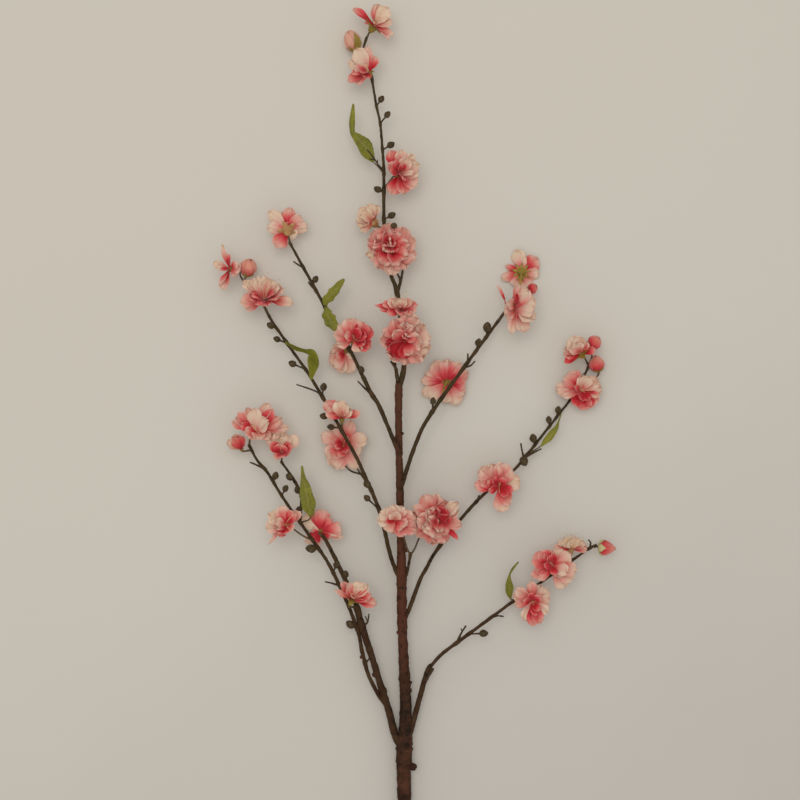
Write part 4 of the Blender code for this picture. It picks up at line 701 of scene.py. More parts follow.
def petal_material(name, stops, rim):
    """Crimson at the foot, then pink, pale or cream towards the edge, with fine veins."""
    made, tree, shader = new_material(name, 0.55, Subsurface_Weight=0.12, Sheen_Weight=0.25,
                                      Subsurface_Scale=0.002, Specular_IOR_Level=0.25)
    shader.inputs["Subsurface Radius"].default_value = (1.0, 0.35, 0.25)
    place = add_node(tree, "ShaderNodeUVMap", uv_map="UVMap").outputs["UV"]
    across, along, _ = add_node(tree, "ShaderNodeSeparateXYZ", {"Vector": place}).outputs
    veins = add_node(tree, "ShaderNodeTexNoise", {
        "Vector": add_node(tree, "ShaderNodeCombineXYZ", {
            "X": math_node(tree, "MULTIPLY", across, 16.0), "Y": along,
            "Z": attribute(tree, "seed")}).outputs[0],
        "Scale": 1.0, "Detail": 2.0}).outputs["Fac"]
    cloud = add_node(tree, "ShaderNodeTexNoise", {
        "Vector": add_node(tree, "ShaderNodeCombineXYZ", {
            "X": math_node(tree, "MULTIPLY", across, 2.4),
            "Y": math_node(tree, "MULTIPLY", along, 2.4),
            "Z": attribute(tree, "seed")}).outputs[0],
        "Scale": 1.0, "Detail": 1.0}).outputs["Fac"]
    reach = math_node(tree, "MULTIPLY_ADD", along, 1.15, 0.02)
    reach = math_node(tree, "ADD", reach, math_node(tree, "MULTIPLY_ADD", veins, 0.34, -0.17))
    reach = math_node(tree, "ADD", reach, math_node(tree, "MULTIPLY_ADD", cloud, 0.5, -0.25))
    reach = math_node(tree, "SUBTRACT", reach, attribute(tree, "blush"))
    reach = math_node(tree, "ADD", reach, 0.44, clamp=True)
    colour = ramp(tree, reach, *stops)
    pale = math_node(tree, "MULTIPLY", attribute(tree, "cream"),
                     math_node(tree, "MULTIPLY", reach, reach), clamp=True)
    colour = mix(tree, pale, colour, tone(226, 197, 171))
    side = math_node(tree, "ABSOLUTE", math_node(tree, "MULTIPLY_ADD", across, 2.0, -1.0))
    edge = math_node(tree, "MAXIMUM", side, along)
    edge = math_node(tree, "MULTIPLY", math_node(tree, "SUBTRACT", edge, 0.9), 4.0, clamp=True)
    colour = mix(tree, edge, colour, rim)
    tree.links.new(colour, shader.inputs["Base Color"])
    bump(tree, shader, veins, 0.25, 0.0004)
    return made


def bark_material(name, patch, stops):
    """Bark with paler patches and dark specks, its colour changing from the cut end to the tips."""
    made, tree, shader = new_material(name, 0.8, Specular_IOR_Level=0.15)
    place = add_node(tree, "ShaderNodeTexCoord").outputs["Object"]
    _, up, _ = add_node(tree, "ShaderNodeSeparateXYZ", {"Vector": place}).outputs
    height = math_node(tree, "MULTIPLY_ADD", up, 1.3, 0.5, clamp=True)
    base = ramp(tree, height, *stops)
    patches = mottle(tree, 90, 700)
    colour = mix(tree, ramp(tree, patches, (0.4, (0, 0, 0, 1)), (0.62, (1, 1, 1, 1))), base,
                 patch)
    dark = mottle(tree, 160, 1200)
    colour = mix(tree, ramp(tree, dark, (0.36, (1, 1, 1, 1)), (0.48, (0, 0, 0, 1))), colour,
                 tone(28, 17, 11))
    tree.links.new(colour, shader.inputs["Base Color"])
    bump(tree, shader, patches, 0.5, 0.0006)
    return made


def plain_material(name, first, second, roughness, coarse, fine, **values):
    """Two colours mottled together, with a little relief."""
    made, tree, shader = new_material(name, roughness, **values)
    patches = mottle(tree, coarse, fine)
    colour = ramp(tree, patches, (0.35, first), (0.65, second))
    tree.links.new(colour, shader.inputs["Base Color"])
    bump(tree, shader, patches, 0.3, 0.0003)
    return made


def leaf_material():
    """Olive green with a pale midrib, side veins and brown touches."""
    made, tree, shader = new_material("leaf", 0.5, Specular_IOR_Level=0.35)
    place = add_node(tree, "ShaderNodeUVMap", uv_map="UVMap").outputs["UV"]
    across, along, _ = add_node(tree, "ShaderNodeSeparateXYZ", {"Vector": place}).outputs
    side = math_node(tree, "ABSOLUTE", math_node(tree, "MULTIPLY_ADD", across, 2.0, -1.0))
    slant = math_node(tree, "MULTIPLY_ADD", side, -0.12, along)
    waves = math_node(tree, "SINE", math_node(tree, "MULTIPLY", slant, 75.0))
    vein = ramp(tree, math_node(tree, "MULTIPLY_ADD", waves, 0.5, 0.5),
                (0.86, (0, 0, 0, 1)), (0.98, (1, 1, 1, 1)))
    patches = mottle(tree, 70, 500)
    colour = ramp(tree, patches, (0.36, tone(92, 90, 14)), (0.52, tone(120, 118, 25)),
                  (0.68, tone(142, 135, 40)))
    colour = mix(tree, math_node(tree, "MULTIPLY", vein, 0.15), colour, tone(150, 150, 70))
    rib = math_node(tree, "LESS_THAN", side, 0.09)
    colour = mix(tree, math_node(tree, "MULTIPLY", rib, 0.3), colour, tone(150, 145, 72))
    worn = mottle(tree, 130, 900)
    colour = mix(tree, ramp(tree, worn, (0.58, (0, 0, 0, 1)), (0.68, (0.8, 0.8, 0.8, 1))), colour,
                 tone(104, 77, 30))
    tree.links.new(colour, shader.inputs["Base Color"])
    bump(tree, shader, vein, 0.4, 0.0004)
    return made


CRIMSON, ROSE, CORAL, BLUSH, CREAM = (
    tone(178, 14, 30), tone(208, 54, 64), tone(217, 109, 102), tone(221, 155, 142),
    tone(222, 186, 168),
)
PETAL_PINK = petal_material(
    "petal_pink", ((0.0, CRIMSON), (0.2, ROSE), (0.42, CORAL), (0.68, BLUSH), (1.0, CREAM)),
    tone(214, 136, 116))
BUD_ROSE = petal_material(
    "bud_rose", ((0.0, tone(164, 16, 26)), (0.3, tone(200, 46, 52)), (0.6, tone(208, 88, 82)),
                 (1.0, tone(216, 136, 114))), tone(180, 62, 60))
BARK = bark_material("bark", tone(77, 58, 36), (
    (0.0, tone(56, 32, 20)), (0.26, tone(59, 35, 21)), (0.34, tone(62, 47, 26)),
    (0.5, tone(60, 50, 29)), (1.0, tone(72, 62, 40))))
STEM_BARK = bark_material("stem_bark", tone(86, 52, 36), (
    (0.0, tone(54, 32, 21)), (0.1, tone(44, 27, 17)), (0.19, tone(38, 29, 17)),
    (0.22, tone(60, 35, 22)), (0.26, tone(80, 44, 30)), (0.38, tone(88, 49, 33)),
    (0.45, tone(66, 44, 27)), (0.5, tone(80, 49, 32)), (0.6, tone(84, 53, 38)),
    (1.0, tone(72, 52, 34))))
TWIG_BARK = plain_material("twig_bark", tone(48, 36, 23), tone(80, 64, 42), 0.8, 200, 900,
                           Specular_IOR_Level=0.2)
CUT_WOOD = plain_material("cut_wood", tone(176, 138, 92), tone(206, 172, 124), 0.8, 90, 900)
BUD_SCALE = plain_material("bud_scale", tone(54, 43, 28), tone(94, 79, 55), 0.8, 300, 1500,
                           Specular_IOR_Level=0.15)
PETAL_FOOT = plain_material("petal_foot", tone(178, 92, 92), tone(204, 128, 122), 0.6, 200, 900)
STALK_GREEN = plain_material("flower_stalk", tone(66, 48, 26), tone(98, 76, 38), 0.6, 150, 900)
CALYX_GREEN = plain_material("calyx", tone(118, 92, 34), tone(150, 128, 58), 0.6, 200, 900)
CALYX_YELLOW = plain_material("calyx_yellow", tone(120, 100, 28), tone(166, 140, 48), 0.6, 200, 900)
CALYX_PALE = plain_material("calyx_pale", tone(176, 168, 112), tone(206, 198, 150), 0.6, 200, 900)
CALYX_BROWN = plain_material("calyx_brown", tone(164, 116, 66), tone(192, 148, 98), 0.6, 200, 900)
STAMEN = plain_material("stamen", tone(232, 204, 150), tone(246, 226, 184), 0.6, 300, 1200)
ANTHER = plain_material("anther", tone(140, 96, 52), tone(206, 162, 104), 0.7, 900, 3000)
LEAF_GREEN = leaf_material()
CALYX_COLOURS = {"green": CALYX_GREEN, "yellow": CALYX_YELLOW, "pale": CALYX_PALE,
                 "brown": CALYX_BROWN}


# --- Shapes ------------------------------------------------------------------------------------


def on_frame(point):
    """A point of the plan, in metres in the frame."""
    x, y, z = point[:3]
    return Vector(((x - PLAN_MIDDLE[0]) * MM, (y - PLAN_MIDDLE[1]) * MM, z * MM))


def deselect():
    """Nothing selected, so that the next step acts on one piece alone."""
    bpy.ops.object.select_all(action="DESELECT")


def join(name, parts):
    """One object of the parts, with the materials of all of them."""
    deselect()
    for part in parts:
        part.select_set(True)
    bpy.context.view_layer.objects.active = parts[0]
    if len(parts) > 1:
        bpy.ops.object.join()
    made = bpy.context.view_layer.objects.active
    made.name = name
    return made


def apply_modifier(obj, kind, **settings):
    """Adds a modifier with its settings and applies it."""
    modifier = obj.modifiers.new(kind.lower(), kind)
    for key, value in settings.items():
        setattr(modifier, key, value)
    bpy.context.view_layer.objects.active = obj
    bpy.ops.object.modifier_apply(modifier=modifier.name)


def smooth(obj, angle):
    """Smooth shading, with edges sharper than the angle in degrees kept."""
    deselect()
    obj.select_set(True)
    bpy.context.view_layer.objects.active = obj
    bpy.ops.object.shade_smooth_by_angle(angle=math.radians(angle))


def shell(obj):
    """Merges doubles and turns all faces outwards."""
    deselect()
    obj.select_set(True)
    bpy.context.view_layer.objects.active = obj
    bpy.ops.object.mode_set(mode="EDIT")
    bpy.ops.mesh.select_all(action="SELECT")
    bpy.ops.mesh.remove_doubles(threshold=0.00001)
    bpy.ops.mesh.normals_make_consistent(inside=False)
    bpy.ops.object.mode_set(mode="OBJECT")


def copy_of(template):
    """A copy with a mesh of its own."""
    made = template.copy()
    made.data = template.data.copy()
    bpy.context.scene.collection.objects.link(made)
    return made


def smooth_path(points, step):
    """Points on a smooth curve through the given ones, about a step apart, with their radii."""
    knots = [Vector(p) for p in points]
    knots = [2 * knots[0] - knots[1], *knots, 2 * knots[-1] - knots[-2]]
    path = []
    for a, b, c, d in zip(knots, knots[1:], knots[2:], knots[3:]):
        count = max(1, round((c.xyz - b.xyz).length / step))
        for k in range(count):
            t = k / count
            path.append(0.5 * (2 * b + (c - a) * t + (2 * a - 5 * b + 4 * c - d) * t * t
                               + (3 * b - a - 3 * c + d) * t ** 3))
    return [*path, knots[-2]]


def tube(name, path, sides, material):
    """A round bar through the points (x, y, z, radius), closed at both ends."""
    curve = bpy.data.curves.new(name, "CURVE")
    curve.dimensions = "3D"
    curve.bevel_depth = 1
    curve.bevel_resolution = sides // 2 - 2
    curve.use_fill_caps = True
    curve.twist_mode = "MINIMUM"
    spline = curve.splines.new("POLY")
    spline.points.add(len(path) - 1)
    for knot, place in zip(spline.points, path):
        knot.co = (*on_frame(place), 1)
        knot.radius = max(place[3], 0.15) * MM
    guide = bpy.data.objects.new(name, curve)
    bpy.context.scene.collection.objects.link(guide)
    deselect()
    guide.select_set(True)
    bpy.context.view_layer.objects.active = guide
    bpy.ops.object.convert(target="MESH")
    made = bpy.context.view_layer.objects.active
    made.data.materials.clear()
    made.data.materials.append(material)
    shell(made)
    return made


def along(limb, y):
    """Point (x, y, z) in the middle of a limb at a given y."""
    points = LIMBS[limb]
    if y <= points[0][1]:
        return points[0][:3]
    for start, end in zip(points, points[1:]):
        if start[1] <= y <= end[1]:
            share = (y - start[1]) / (end[1] - start[1])
            return tuple(a + (b - a) * share for a, b in zip(start[:3], end[:3]))
    return points[-1][:3]


def offset(point, step):
    """A point moved by a step."""
    return tuple(a + b for a, b in zip(point, step))


def aim(point, facing, turn=0):
    """Turns local Z to the facing and moves the local origin to the point, on the plan."""
    facing = Vector(facing).normalized()
    tilt = Vector((0, 0, 1)).rotation_difference(facing).to_matrix().to_4x4()
    return Matrix.Translation(point) @ tilt @ Matrix.Rotation(math.radians(turn), 4, "Z")


def place(obj, matrix):
    """Moves a mesh made in local millimetres to its place on the plan, in its points."""
    for point in obj.data.vertices:
        point.co = on_frame(matrix @ point.co)
    return obj


# --- Wood --------------------------------------------------------------------------------------


def swellings(limb):
    """The y of each place where something grows from a limb."""
    rows = [row[1] for row in (*DARK_BUDS, *TWIGS) if row[0] == limb]
    return rows + [spec["y"] for spec in (*FLOWERS.values(), *BUDS.values(), *LEAVES.values())
                   if spec["limb"] == limb]


def build_limb(name, points):
    """A limb with rough bark: bumps, dents and a swollen ring where anything grows from it."""
    finish = STEM_FINISH if name == "stem" else LIMB_FINISH
    path = smooth_path(points, finish["step"])
    rings = swellings(name)
    for knot in path:
        swell = sum(math.exp(-((knot.y - y) / 2.2) ** 2) for y in rings)
        rough = noise.noise(Vector((knot.y * 0.16, len(name) * 7.1, 0)))
        coarse = noise.noise(Vector((knot.y * 0.6, len(name) * 3.3, 5)))
        knot.w *= 1 + 0.09 * rough + 0.09 * coarse
        knot.w += min(swell, 1.3) * finish["growth"]
    limb = tube(name, path, finish["sides"], STEM_BARK)
    limb.data.materials.append(BARK)
    for face in limb.data.polygons:
        face.material_index = 0 if name == "stem" else 1
    bark = bpy.data.textures.get("bark_relief") or bpy.data.textures.new("bark_relief", "CLOUDS")
    bark.noise_scale = 0.0035
    apply_modifier(limb, "DISPLACE", texture=bark, texture_coords="LOCAL", mid_level=0.5,
                   strength=finish["relief"] * MM)
    return limb


def build_wood():
    """Stem and limbs grown together, with their lumps and the pale cut end of the stem."""
    limbs = {name: build_limb(name, points) for name, points in LIMBS.items()}
    body = limbs.pop("stem")
    extra = bpy.data.collections.new("limbs")
    bpy.context.scene.collection.children.link(extra)
    knots = [build_knot(i, *row) for i, row in enumerate(KNOTS)]
    for part in (*limbs.values(), *knots):
        for home in list(part.users_collection):
            home.objects.unlink(part)
        extra.objects.link(part)
    apply_modifier(body, "BOOLEAN", operation="UNION", operand_type="COLLECTION",
                   collection=extra, solver="MANIFOLD")
    for part in list(extra.objects):
        bpy.data.objects.remove(part)
    bpy.data.collections.remove(extra)
    body.data.materials.append(CUT_WOOD)
    near_cut = on_frame((0, LIMBS["stem"][0][1] + 0.5, 0)).y
    for face in body.data.polygons:
        if face.center.y < near_cut and face.normal.y < -0.9:
            face.material_index = len(body.data.materials) - 1
    body.name = "bark"
    smooth(body, 60)
    return body


def build_knot(i, limb, y, side, size):
    """A lump of old growth on the side of a limb."""
    middle = Vector(along(limb, y))
    bpy.ops.mesh.primitive_ico_sphere_add(subdivisions=3, radius=size)
    knot = bpy.context.object
    knot.name = f"knot_{i}"
    knot.data.materials.append(STEM_BARK)
    for point in knot.data.vertices:
        point.co *= 1 + 0.35 * noise.noise(point.co * 0.7 + Vector((i * 5, 0, 0)))
    return place(knot, Matrix.Translation(middle + Vector(side)))


def build_twigs():
    """Bare twigs, thorns and broken ends."""
    parts = []
    stem_end = LIMBS["stem"][-1][1]
    for i, (limb, y, thick, steps) in enumerate(TWIGS):
        root = FORK_TWIG_FOOT if limb == "stem" and y > stem_end else along(limb, y)
        points = [(*root, thick * 1.1)]
        for k, step in enumerate(steps):
            points.append((*offset(root, step), thick * (0.95 - 0.3 * (k + 1) / len(steps))))
        path = smooth_path(points, 1.2)
        for knot in path:
            knot.w *= 1 + 0.3 * noise.noise(knot.xyz * 0.6)
        parts.append(tube(f"twig_{i}", path, 8, TWIG_BARK))
    return join("twigs", parts)


def build_dark_bud(i, limb, y, tip, size, template):
    """A small dark winter bud: overlapping scales on a short thin stalk."""
    root = Vector(along(limb, y))
    step = Vector(tip)
    facing = step.normalized()
    length = DARK_BUD_LENGTH * size
    wide = DARK_BUD_RADIUS * size
    neck = root + step + facing * (0.6 - length)
    stalk = tube(f"bud_stalk_{i}", [(*root, 0.9), (*(root.lerp(neck, 0.6)), 0.7),
                                    (*(neck + facing * 1.2), 0.95)], 8, TWIG_BARK)
    body = copy_of(template)
    matrix = aim(neck, facing, i * 47) @ Matrix.Diagonal((wide, wide, length, 1))
    return [stalk, place(body, matrix)]


def bud_template(name, material, turns, scales, pinch, fullness):
    """A closed bud one unit long and one unit in radius, wrapped in overlapping scales."""
    bpy.ops.mesh.primitive_uv_sphere_add(segments=20, ring_count=12, radius=1, calc_uvs=True)
    made = bpy.context.object
    made.name = name
    made.data.materials.append(material)
    for point in made.data.vertices:
        x, y, z = point.co
        height = (z + 1) / 2
        angle = math.atan2(y, x) / math.tau + height * turns
        edge = (angle * scales) % 1
        wide = math.sin(math.pi * height ** pinch) ** fullness if 0 < height < 1 else 0.0
        grow = wide / max(math.hypot(x, y), 1e-6) * (0.93 + 0.12 * edge)
        point.co = (x * grow, y * grow, height)
    return made


def build_dark_buds():
    """All the small dark buds as one piece."""
    template = bud_template("dark_bud", BUD_SCALE, 0.5, 3, 0.86, 0.6)
    parts = []
    for i, row in enumerate(DARK_BUDS):
        parts += build_dark_bud(i, *row, template)
    bpy.data.objects.remove(template)
    made = join("dark_buds", parts)
    smooth(made, 45)
    return made


def foot_of(spec):
    """The foot of a flower or bud, where its stalk ends, and the way it faces."""
    facing = Vector(spec["to"]).normalized()
    if spec in BUDS.values():
        return Vector(spec["at"]), facing
    return Vector(spec["at"]) - facing * CALYX_LENGTH, facing


def build_stalks():
    """The stalk of each flower, coloured bud and leaf."""
    parts = []
    for name, spec in (*FLOWERS.items(), *BUDS.items()):
        foot, facing = foot_of(spec)
        foot = foot + Vector((*DETAILS.get(name, {}).get("shift", (0, 0)), 0))
        start = along(spec["limb"], spec["y"])
        points = [(*start, STALK * 1.4), *((*p, STALK) for p in spec.get("by", ())),
                  (*(foot - facing * 2.2), STALK), (*foot, CALYX_FOOT)]
        skin = CALYX_YELLOW if spec["to"][2] < STRAIGHT_DOWN else STALK_GREEN
        parts.append(tube(name + "_stalk", smooth_path(points, 1.4), 8, skin))
    for name, spec in LEAVES.items():
        start, foot = along(spec["limb"], spec["y"]), Vector(spec["rib"][0][:3])
        points = [(*start, LEAF_STALK * 1.5), *((*p, LEAF_STALK) for p in spec["by"]), (*foot, 0.5)]
        skin = PETAL_FOOT if name.startswith("petal") else STALK_GREEN
        parts.append(tube(name + "_stalk", smooth_path(points, 1.4), 8, skin))
    return join("stalks", parts)


# --- Flowers -----------------------------------------------------------------------------------


def flat_petal():
    """A flat petal, square for now, from -1 to 1 across and along."""
    bpy.ops.mesh.primitive_grid_add(x_subdivisions=PETAL_COLUMNS, y_subdivisions=PETAL_ROWS,
                                    size=2, calc_uvs=True)
    made = bpy.context.object
    made.name = "petal"
    return made


# Outlines of a petal: how far along it, and its half width there as a share of the widest.
ROUND = ((0, 0.13), (0.15, 0.3), (0.3, 0.56), (0.45, 0.82), (0.6, 0.98), (0.7, 1.0),
         (0.82, 0.92), (0.9, 0.76), (0.96, 0.55), (1.0, 0.26))
OVAL = ((0, 0.15), (0.15, 0.36), (0.3, 0.66), (0.45, 0.92), (0.56, 1.0), (0.7, 0.95),
        (0.82, 0.78), (0.9, 0.6), (0.96, 0.4), (1.0, 0.16))
POINTED = ((0, 0.5), (0.2, 0.9), (0.4, 1.0), (0.6, 0.85), (0.8, 0.5), (1.0, 0.06))


def width_at(outline, t):
    """Half width of an outline at a share t of its length."""
    for (low, first), (high, second) in zip(outline, outline[1:]):
        if t <= high:
            return first + (second - first) * (t - low) / (high - low)
    return outline[-1][1]


def bend_petal(petal, form, matrix):
    """Gives a flat petal its outline, arch, cup and ruffle, in millimetres.

    It leans from the flower's axis by two angles, at its foot and at its tip. hole is how far the
    foot stands from the axis, and roll how far the petal is turned about its own middle line.
    """
    steps = PETAL_ROWS
    ends = [1 - (1 - k / steps) ** 1.35 for k in range(steps + 1)]
    middle = [Vector((0, form.get("hole", 0.6), form["foot"]))]
    leans = []
    for k, t in enumerate(ends):
        lean = form["lean"][0] + (form["lean"][1] - form["lean"][0]) * t + form["curl"] * t ** 3
        leans.append(math.radians(lean))
        if k:
            run = form["length"] * (t - ends[k - 1])
            between = (leans[k] + leans[k - 1]) / 2
            middle.append(middle[-1] + Vector((0, math.sin(between), math.cos(between))) * run)
    half, phase, long = form["half"], form["phase"], form["length"]
    roll = Matrix.Rotation(math.radians(form.get("roll", 0)), 3, middle[3] - middle[0])
    for point in petal.data.vertices:
        s = point.co.x
        row = min(round((point.co.y + 1) / 2 * steps), steps)
        t = ends[row]
        out = Vector((0, math.sin(leans[row]), math.cos(leans[row])))
        up = Vector((0, -math.cos(leans[row]), math.sin(leans[row])))
        # Its width, uneven along both sides.
        wide = half * width_at(form["outline"], t)
        wide *= 1 + 0.1 * math.sin(t * 15 + phase * (2 if s > 0 else 3)) * abs(s) ** 3 * t
        # Its rise off the middle line: waves along the tip and the sides, cup and twist.
        wave = math.sin(s * form["waves"] + phase) * t ** 2
        wave += 0.6 * math.sin(t * 11 + phase * (1 if s > 0 else 2)) * abs(s) ** 2.5 * t
        lift = form["cup"] * wide * abs(s) ** 1.7 + form["ruffle"] * half * wave
        lift += form["twist"] * wide * s * t
        # The line of its tip: rounded corners, a notch in the middle and fine teeth.
        back = -0.05 * long * s * s * t ** 6
        back -= form["notch"] * long * math.exp(-(s / 0.3) ** 2) * t ** 8
        back += 0.034 * long * math.sin(s * 10 + phase * 3) * t ** 5
        there = middle[row] + Vector((s * wide, 0, 0)) + up * lift + out * back
        point.co = matrix @ (middle[0] + roll @ (there - middle[0]))


def colour_points(obj, colours):
    """Keeps blush, cream and seed with the points of a petal, for its material to read."""
    for name, value in zip(("blush", "cream", "seed"), colours):
        kept = obj.data.attributes.new(name, "FLOAT", "POINT")
        kept.data.foreach_set("value", [value] * len(obj.data.vertices))


def add_petal(parts, form, matrix, low, high, material, colours):
    """One petal, kept between its bounds, with its own colouring."""
    petal = copy_of(PETAL_TEMPLATE)
    bend_petal(petal, form, matrix)
    for point in petal.data.vertices:
        x, y, z = point.co
        point.co = on_frame((x, y, min(max(z, low), high)))
    colour_points(petal, colours)
    petal.data.materials.append(material)
    parts.append(petal)


def aimed_petal(middle, facing, row, frill, rng):
    """Form and place of a petal whose tip lies a given way from the middle of the flower."""
    direction, reach, half, rise = row[:4]
    view = Vector((0, 0, 1 if facing.z > -0.2 else -1))
    face = (facing + view * 0.9).normalized()
    angle = math.radians(direction + rng.uniform(-3, 3))
    tip = Vector((reach * math.cos(angle), reach * math.sin(angle), rise))
    matrix = aim(middle, face)
    local = matrix.to_3x3().transposed() @ tip
    lean = math.degrees(math.atan2(math.hypot(local.x, local.y), local.z))
    arch = rng.uniform(8, 20)
    form = dict(lean=(lean - arch, lean + arch * 0.7), curl=rng.uniform(-10, 14),
                length=local.length * 1.03, half=half, cup=rng.uniform(0.1, 0.34),
                ruffle=rng.uniform(0.08, 0.22) * frill, waves=rng.uniform(4, 9),
                phase=rng.uniform(0, math.tau), twist=rng.uniform(-0.2, 0.2),
                notch=rng.choice((0, 0.03, 0.07)), foot=0, roll=rng.uniform(-16, 16) * frill,
                outline=ROUND if half > 3 else OVAL)
    return form, matrix @ Matrix.Rotation(math.atan2(-local.x, local.y), 4, "Z")


def calyx(name, matrix, material, sepals, reach, rng):
    """The cup under a flower with its pointed sepals."""
    bpy.ops.mesh.primitive_cone_add(vertices=12, radius1=CALYX_FOOT, radius2=CALYX_RIM,
                                    depth=CALYX_LENGTH, end_fill_type="NGON")
    cup = bpy.context.object
    cup.name = name
    cup.data.materials.append(material)
    deselect()
    cup.select_set(True)
    bpy.ops.object.mode_set(mode="EDIT")
    bpy.ops.mesh.select_all(action="SELECT")
    bpy.ops.mesh.bevel(offset=0.4, segments=2)
    bpy.ops.object.mode_set(mode="OBJECT")
    place(cup, matrix @ Matrix.Translation((0, 0, -CALYX_LENGTH / 2)))
    blades = []
    for k in range(sepals):
        form = dict(lean=(40, 78), curl=rng.uniform(0, 40), length=reach,
                    half=reach * (0.3 if sepals < 7 else 0.16),
                    cup=0.3, ruffle=0.05, waves=3, phase=k, twist=0, notch=0, foot=-1.2,
                    hole=1.6, outline=POINTED)
        turned = matrix @ Matrix.Rotation(math.tau * (k + 0.5) / sepals, 4, "Z")
        add_petal(blades, form, turned, SURFACE, NO_CEILING, material, (0, 0, k))
    return cup, blades


def stamen_template():
    """A fine thread one unit long, and the small anther for its end."""
    bpy.ops.mesh.primitive_cylinder_add(vertices=5, radius=1, depth=1, end_fill_type="NGON")
    thread = bpy.context.object
    for point in thread.data.vertices:
        point.co.z += 0.5
    deselect()
    thread.select_set(True)
    bpy.ops.object.mode_set(mode="EDIT")
    for cut in (0.33, 0.66):
        bpy.ops.mesh.select_all(action="SELECT")
        bpy.ops.mesh.bisect(plane_co=(0, 0, cut), plane_no=(0, 0, 1))
    bpy.ops.object.mode_set(mode="OBJECT")
    thread.data.materials.append(STAMEN)
    bpy.ops.mesh.primitive_ico_sphere_add(subdivisions=1, radius=1)
    anther = bpy.context.object
    anther.data.materials.append(ANTHER)
    return thread, anther


def add_stamens(parts, spec, matrix, details, rng):
    """The stamens of a flower, short where it looks at the surface."""
    count, length, spread = details.get("stamens", STAMENS)
    if spec["to"][2] < TURNED_DOWN:
        length *= 0.4
    for k in range(count):
        lean = math.radians(rng.uniform(0.15, 1) * spread)
        reach = length * spec["r"] * rng.uniform(0.75, 1.1)
        turned = matrix @ Matrix.Rotation(math.tau * k / count * 2.4 + rng.uniform(-0.3, 0.3), 4, "Z")
        bend = rng.uniform(-0.1, 0.25)
        thread = copy_of(STAMEN_THREAD)
        for point in thread.data.vertices:
            x, y, t = point.co
            middle = Vector((0, math.sin(lean) * t + bend * t * t * 0.5, math.cos(lean) * t)) * reach
            point.co = on_frame(turned @ (middle + Vector((x * 0.17, y * 0.17 + 0.5, 1.0))))
        tip = Vector((0, math.sin(lean) + bend * 0.5, math.cos(lean))) * reach
        anther = copy_of(ANTHER_BALL)
        size = Matrix.Diagonal((0.36, 0.5, 0.36, 1))
        place(anther, turned @ Matrix.Translation(tip + Vector((0, 0.5, 1.0))) @ size)
        parts += [thread, anther]


def inner_petals(spec, rings, rng):
    """Forms, turns and colours of the small ruffled petals round the middle of a flower."""
    for count, foot_lean, tip_lean, length, half, turn, height in rings:
        for k in range(count):
            form = dict(
                lean=(foot_lean + rng.uniform(-10, 10), tip_lean + rng.uniform(-16, 16)),
                curl=rng.uniform(-20, 40), length=length * spec["r"] * rng.uniform(0.7, 1.02),
                half=half * spec["r"] * rng.uniform(0.8, 1.05), cup=rng.uniform(0.1, 0.5),
                ruffle=rng.uniform(0.12, 0.3), waves=rng.uniform(5, 10),
                phase=rng.uniform(0, math.tau), twist=rng.uniform(-0.3, 0.3),
                notch=rng.choice((0, 0.04, 0.09)), foot=height, roll=rng.uniform(-44, 44),
                outline=rng.choice((ROUND, ROUND, OVAL)))
            azimuth = math.tau * (k + turn + rng.uniform(-0.3, 0.3)) / count
            yield form, azimuth, (HEART_BLUSH + rng.uniform(-0.15, 0.2), rng.uniform(0, 0.6))


def build_flower(name, spec, material):
    """A flower as one piece: petals round a calyx, with stamens in the middle."""
    rng = random.Random(name)
    foot, facing = foot_of(spec)
    bud = name in BUDS
    details = DETAILS.get(name, {})
    middle = foot if bud else foot + facing * CALYX_LENGTH
    middle += Vector((*details.get("shift", (0, 0)), 0))
    matrix = aim(middle, facing, spec["turn"])
    low, high = spec.get("low", SURFACE), spec.get("high", NO_CEILING)
    petals = []
    for row in PETALS[name]:
        form, turned = aimed_petal(middle, facing, row, details.get("frill", FRILL), rng)
        add_petal(petals, form, turned, low, high, material, (*row[4:], rng.uniform(0, 50)))
    rings = HEARTS[details.get("heart", "few")]
    heart = Matrix.Translation((*details.get("heart_at", (0, 0)), 0)) @ matrix
    for form, azimuth, colours in inner_petals(spec, rings, rng):
        loose = Matrix.Translation((rng.uniform(-1.6, 1.6), rng.uniform(-1.6, 1.6), 0))
        turned = heart @ loose @ Matrix.Rotation(azimuth, 4, "Z")
        add_petal(petals, form, turned, low, high, material, (*colours, rng.uniform(0, 50)))
    green = CALYX_COLOURS[details.get("calyx", "green")]
    wide, long = details.get("cup", (1, 1))
    cup, sepals = calyx(name + "_calyx", matrix @ Matrix.Diagonal((wide, wide, long, 1)), green,
                        details.get("points", 5), details.get("sepals", 5.0), rng)
    blades = join(name + "_blades", petals + sepals)
    apply_modifier(blades, "SOLIDIFY", thickness=PETAL_THICKNESS * MM, offset=0)
    parts = [blades, cup]
    if not bud:
        add_stamens(parts, spec, matrix, details, rng)
    made = join(name.replace("flower", "blossom").replace("bud", "opening_bud"), parts)
    smooth(made, 60)
    return made


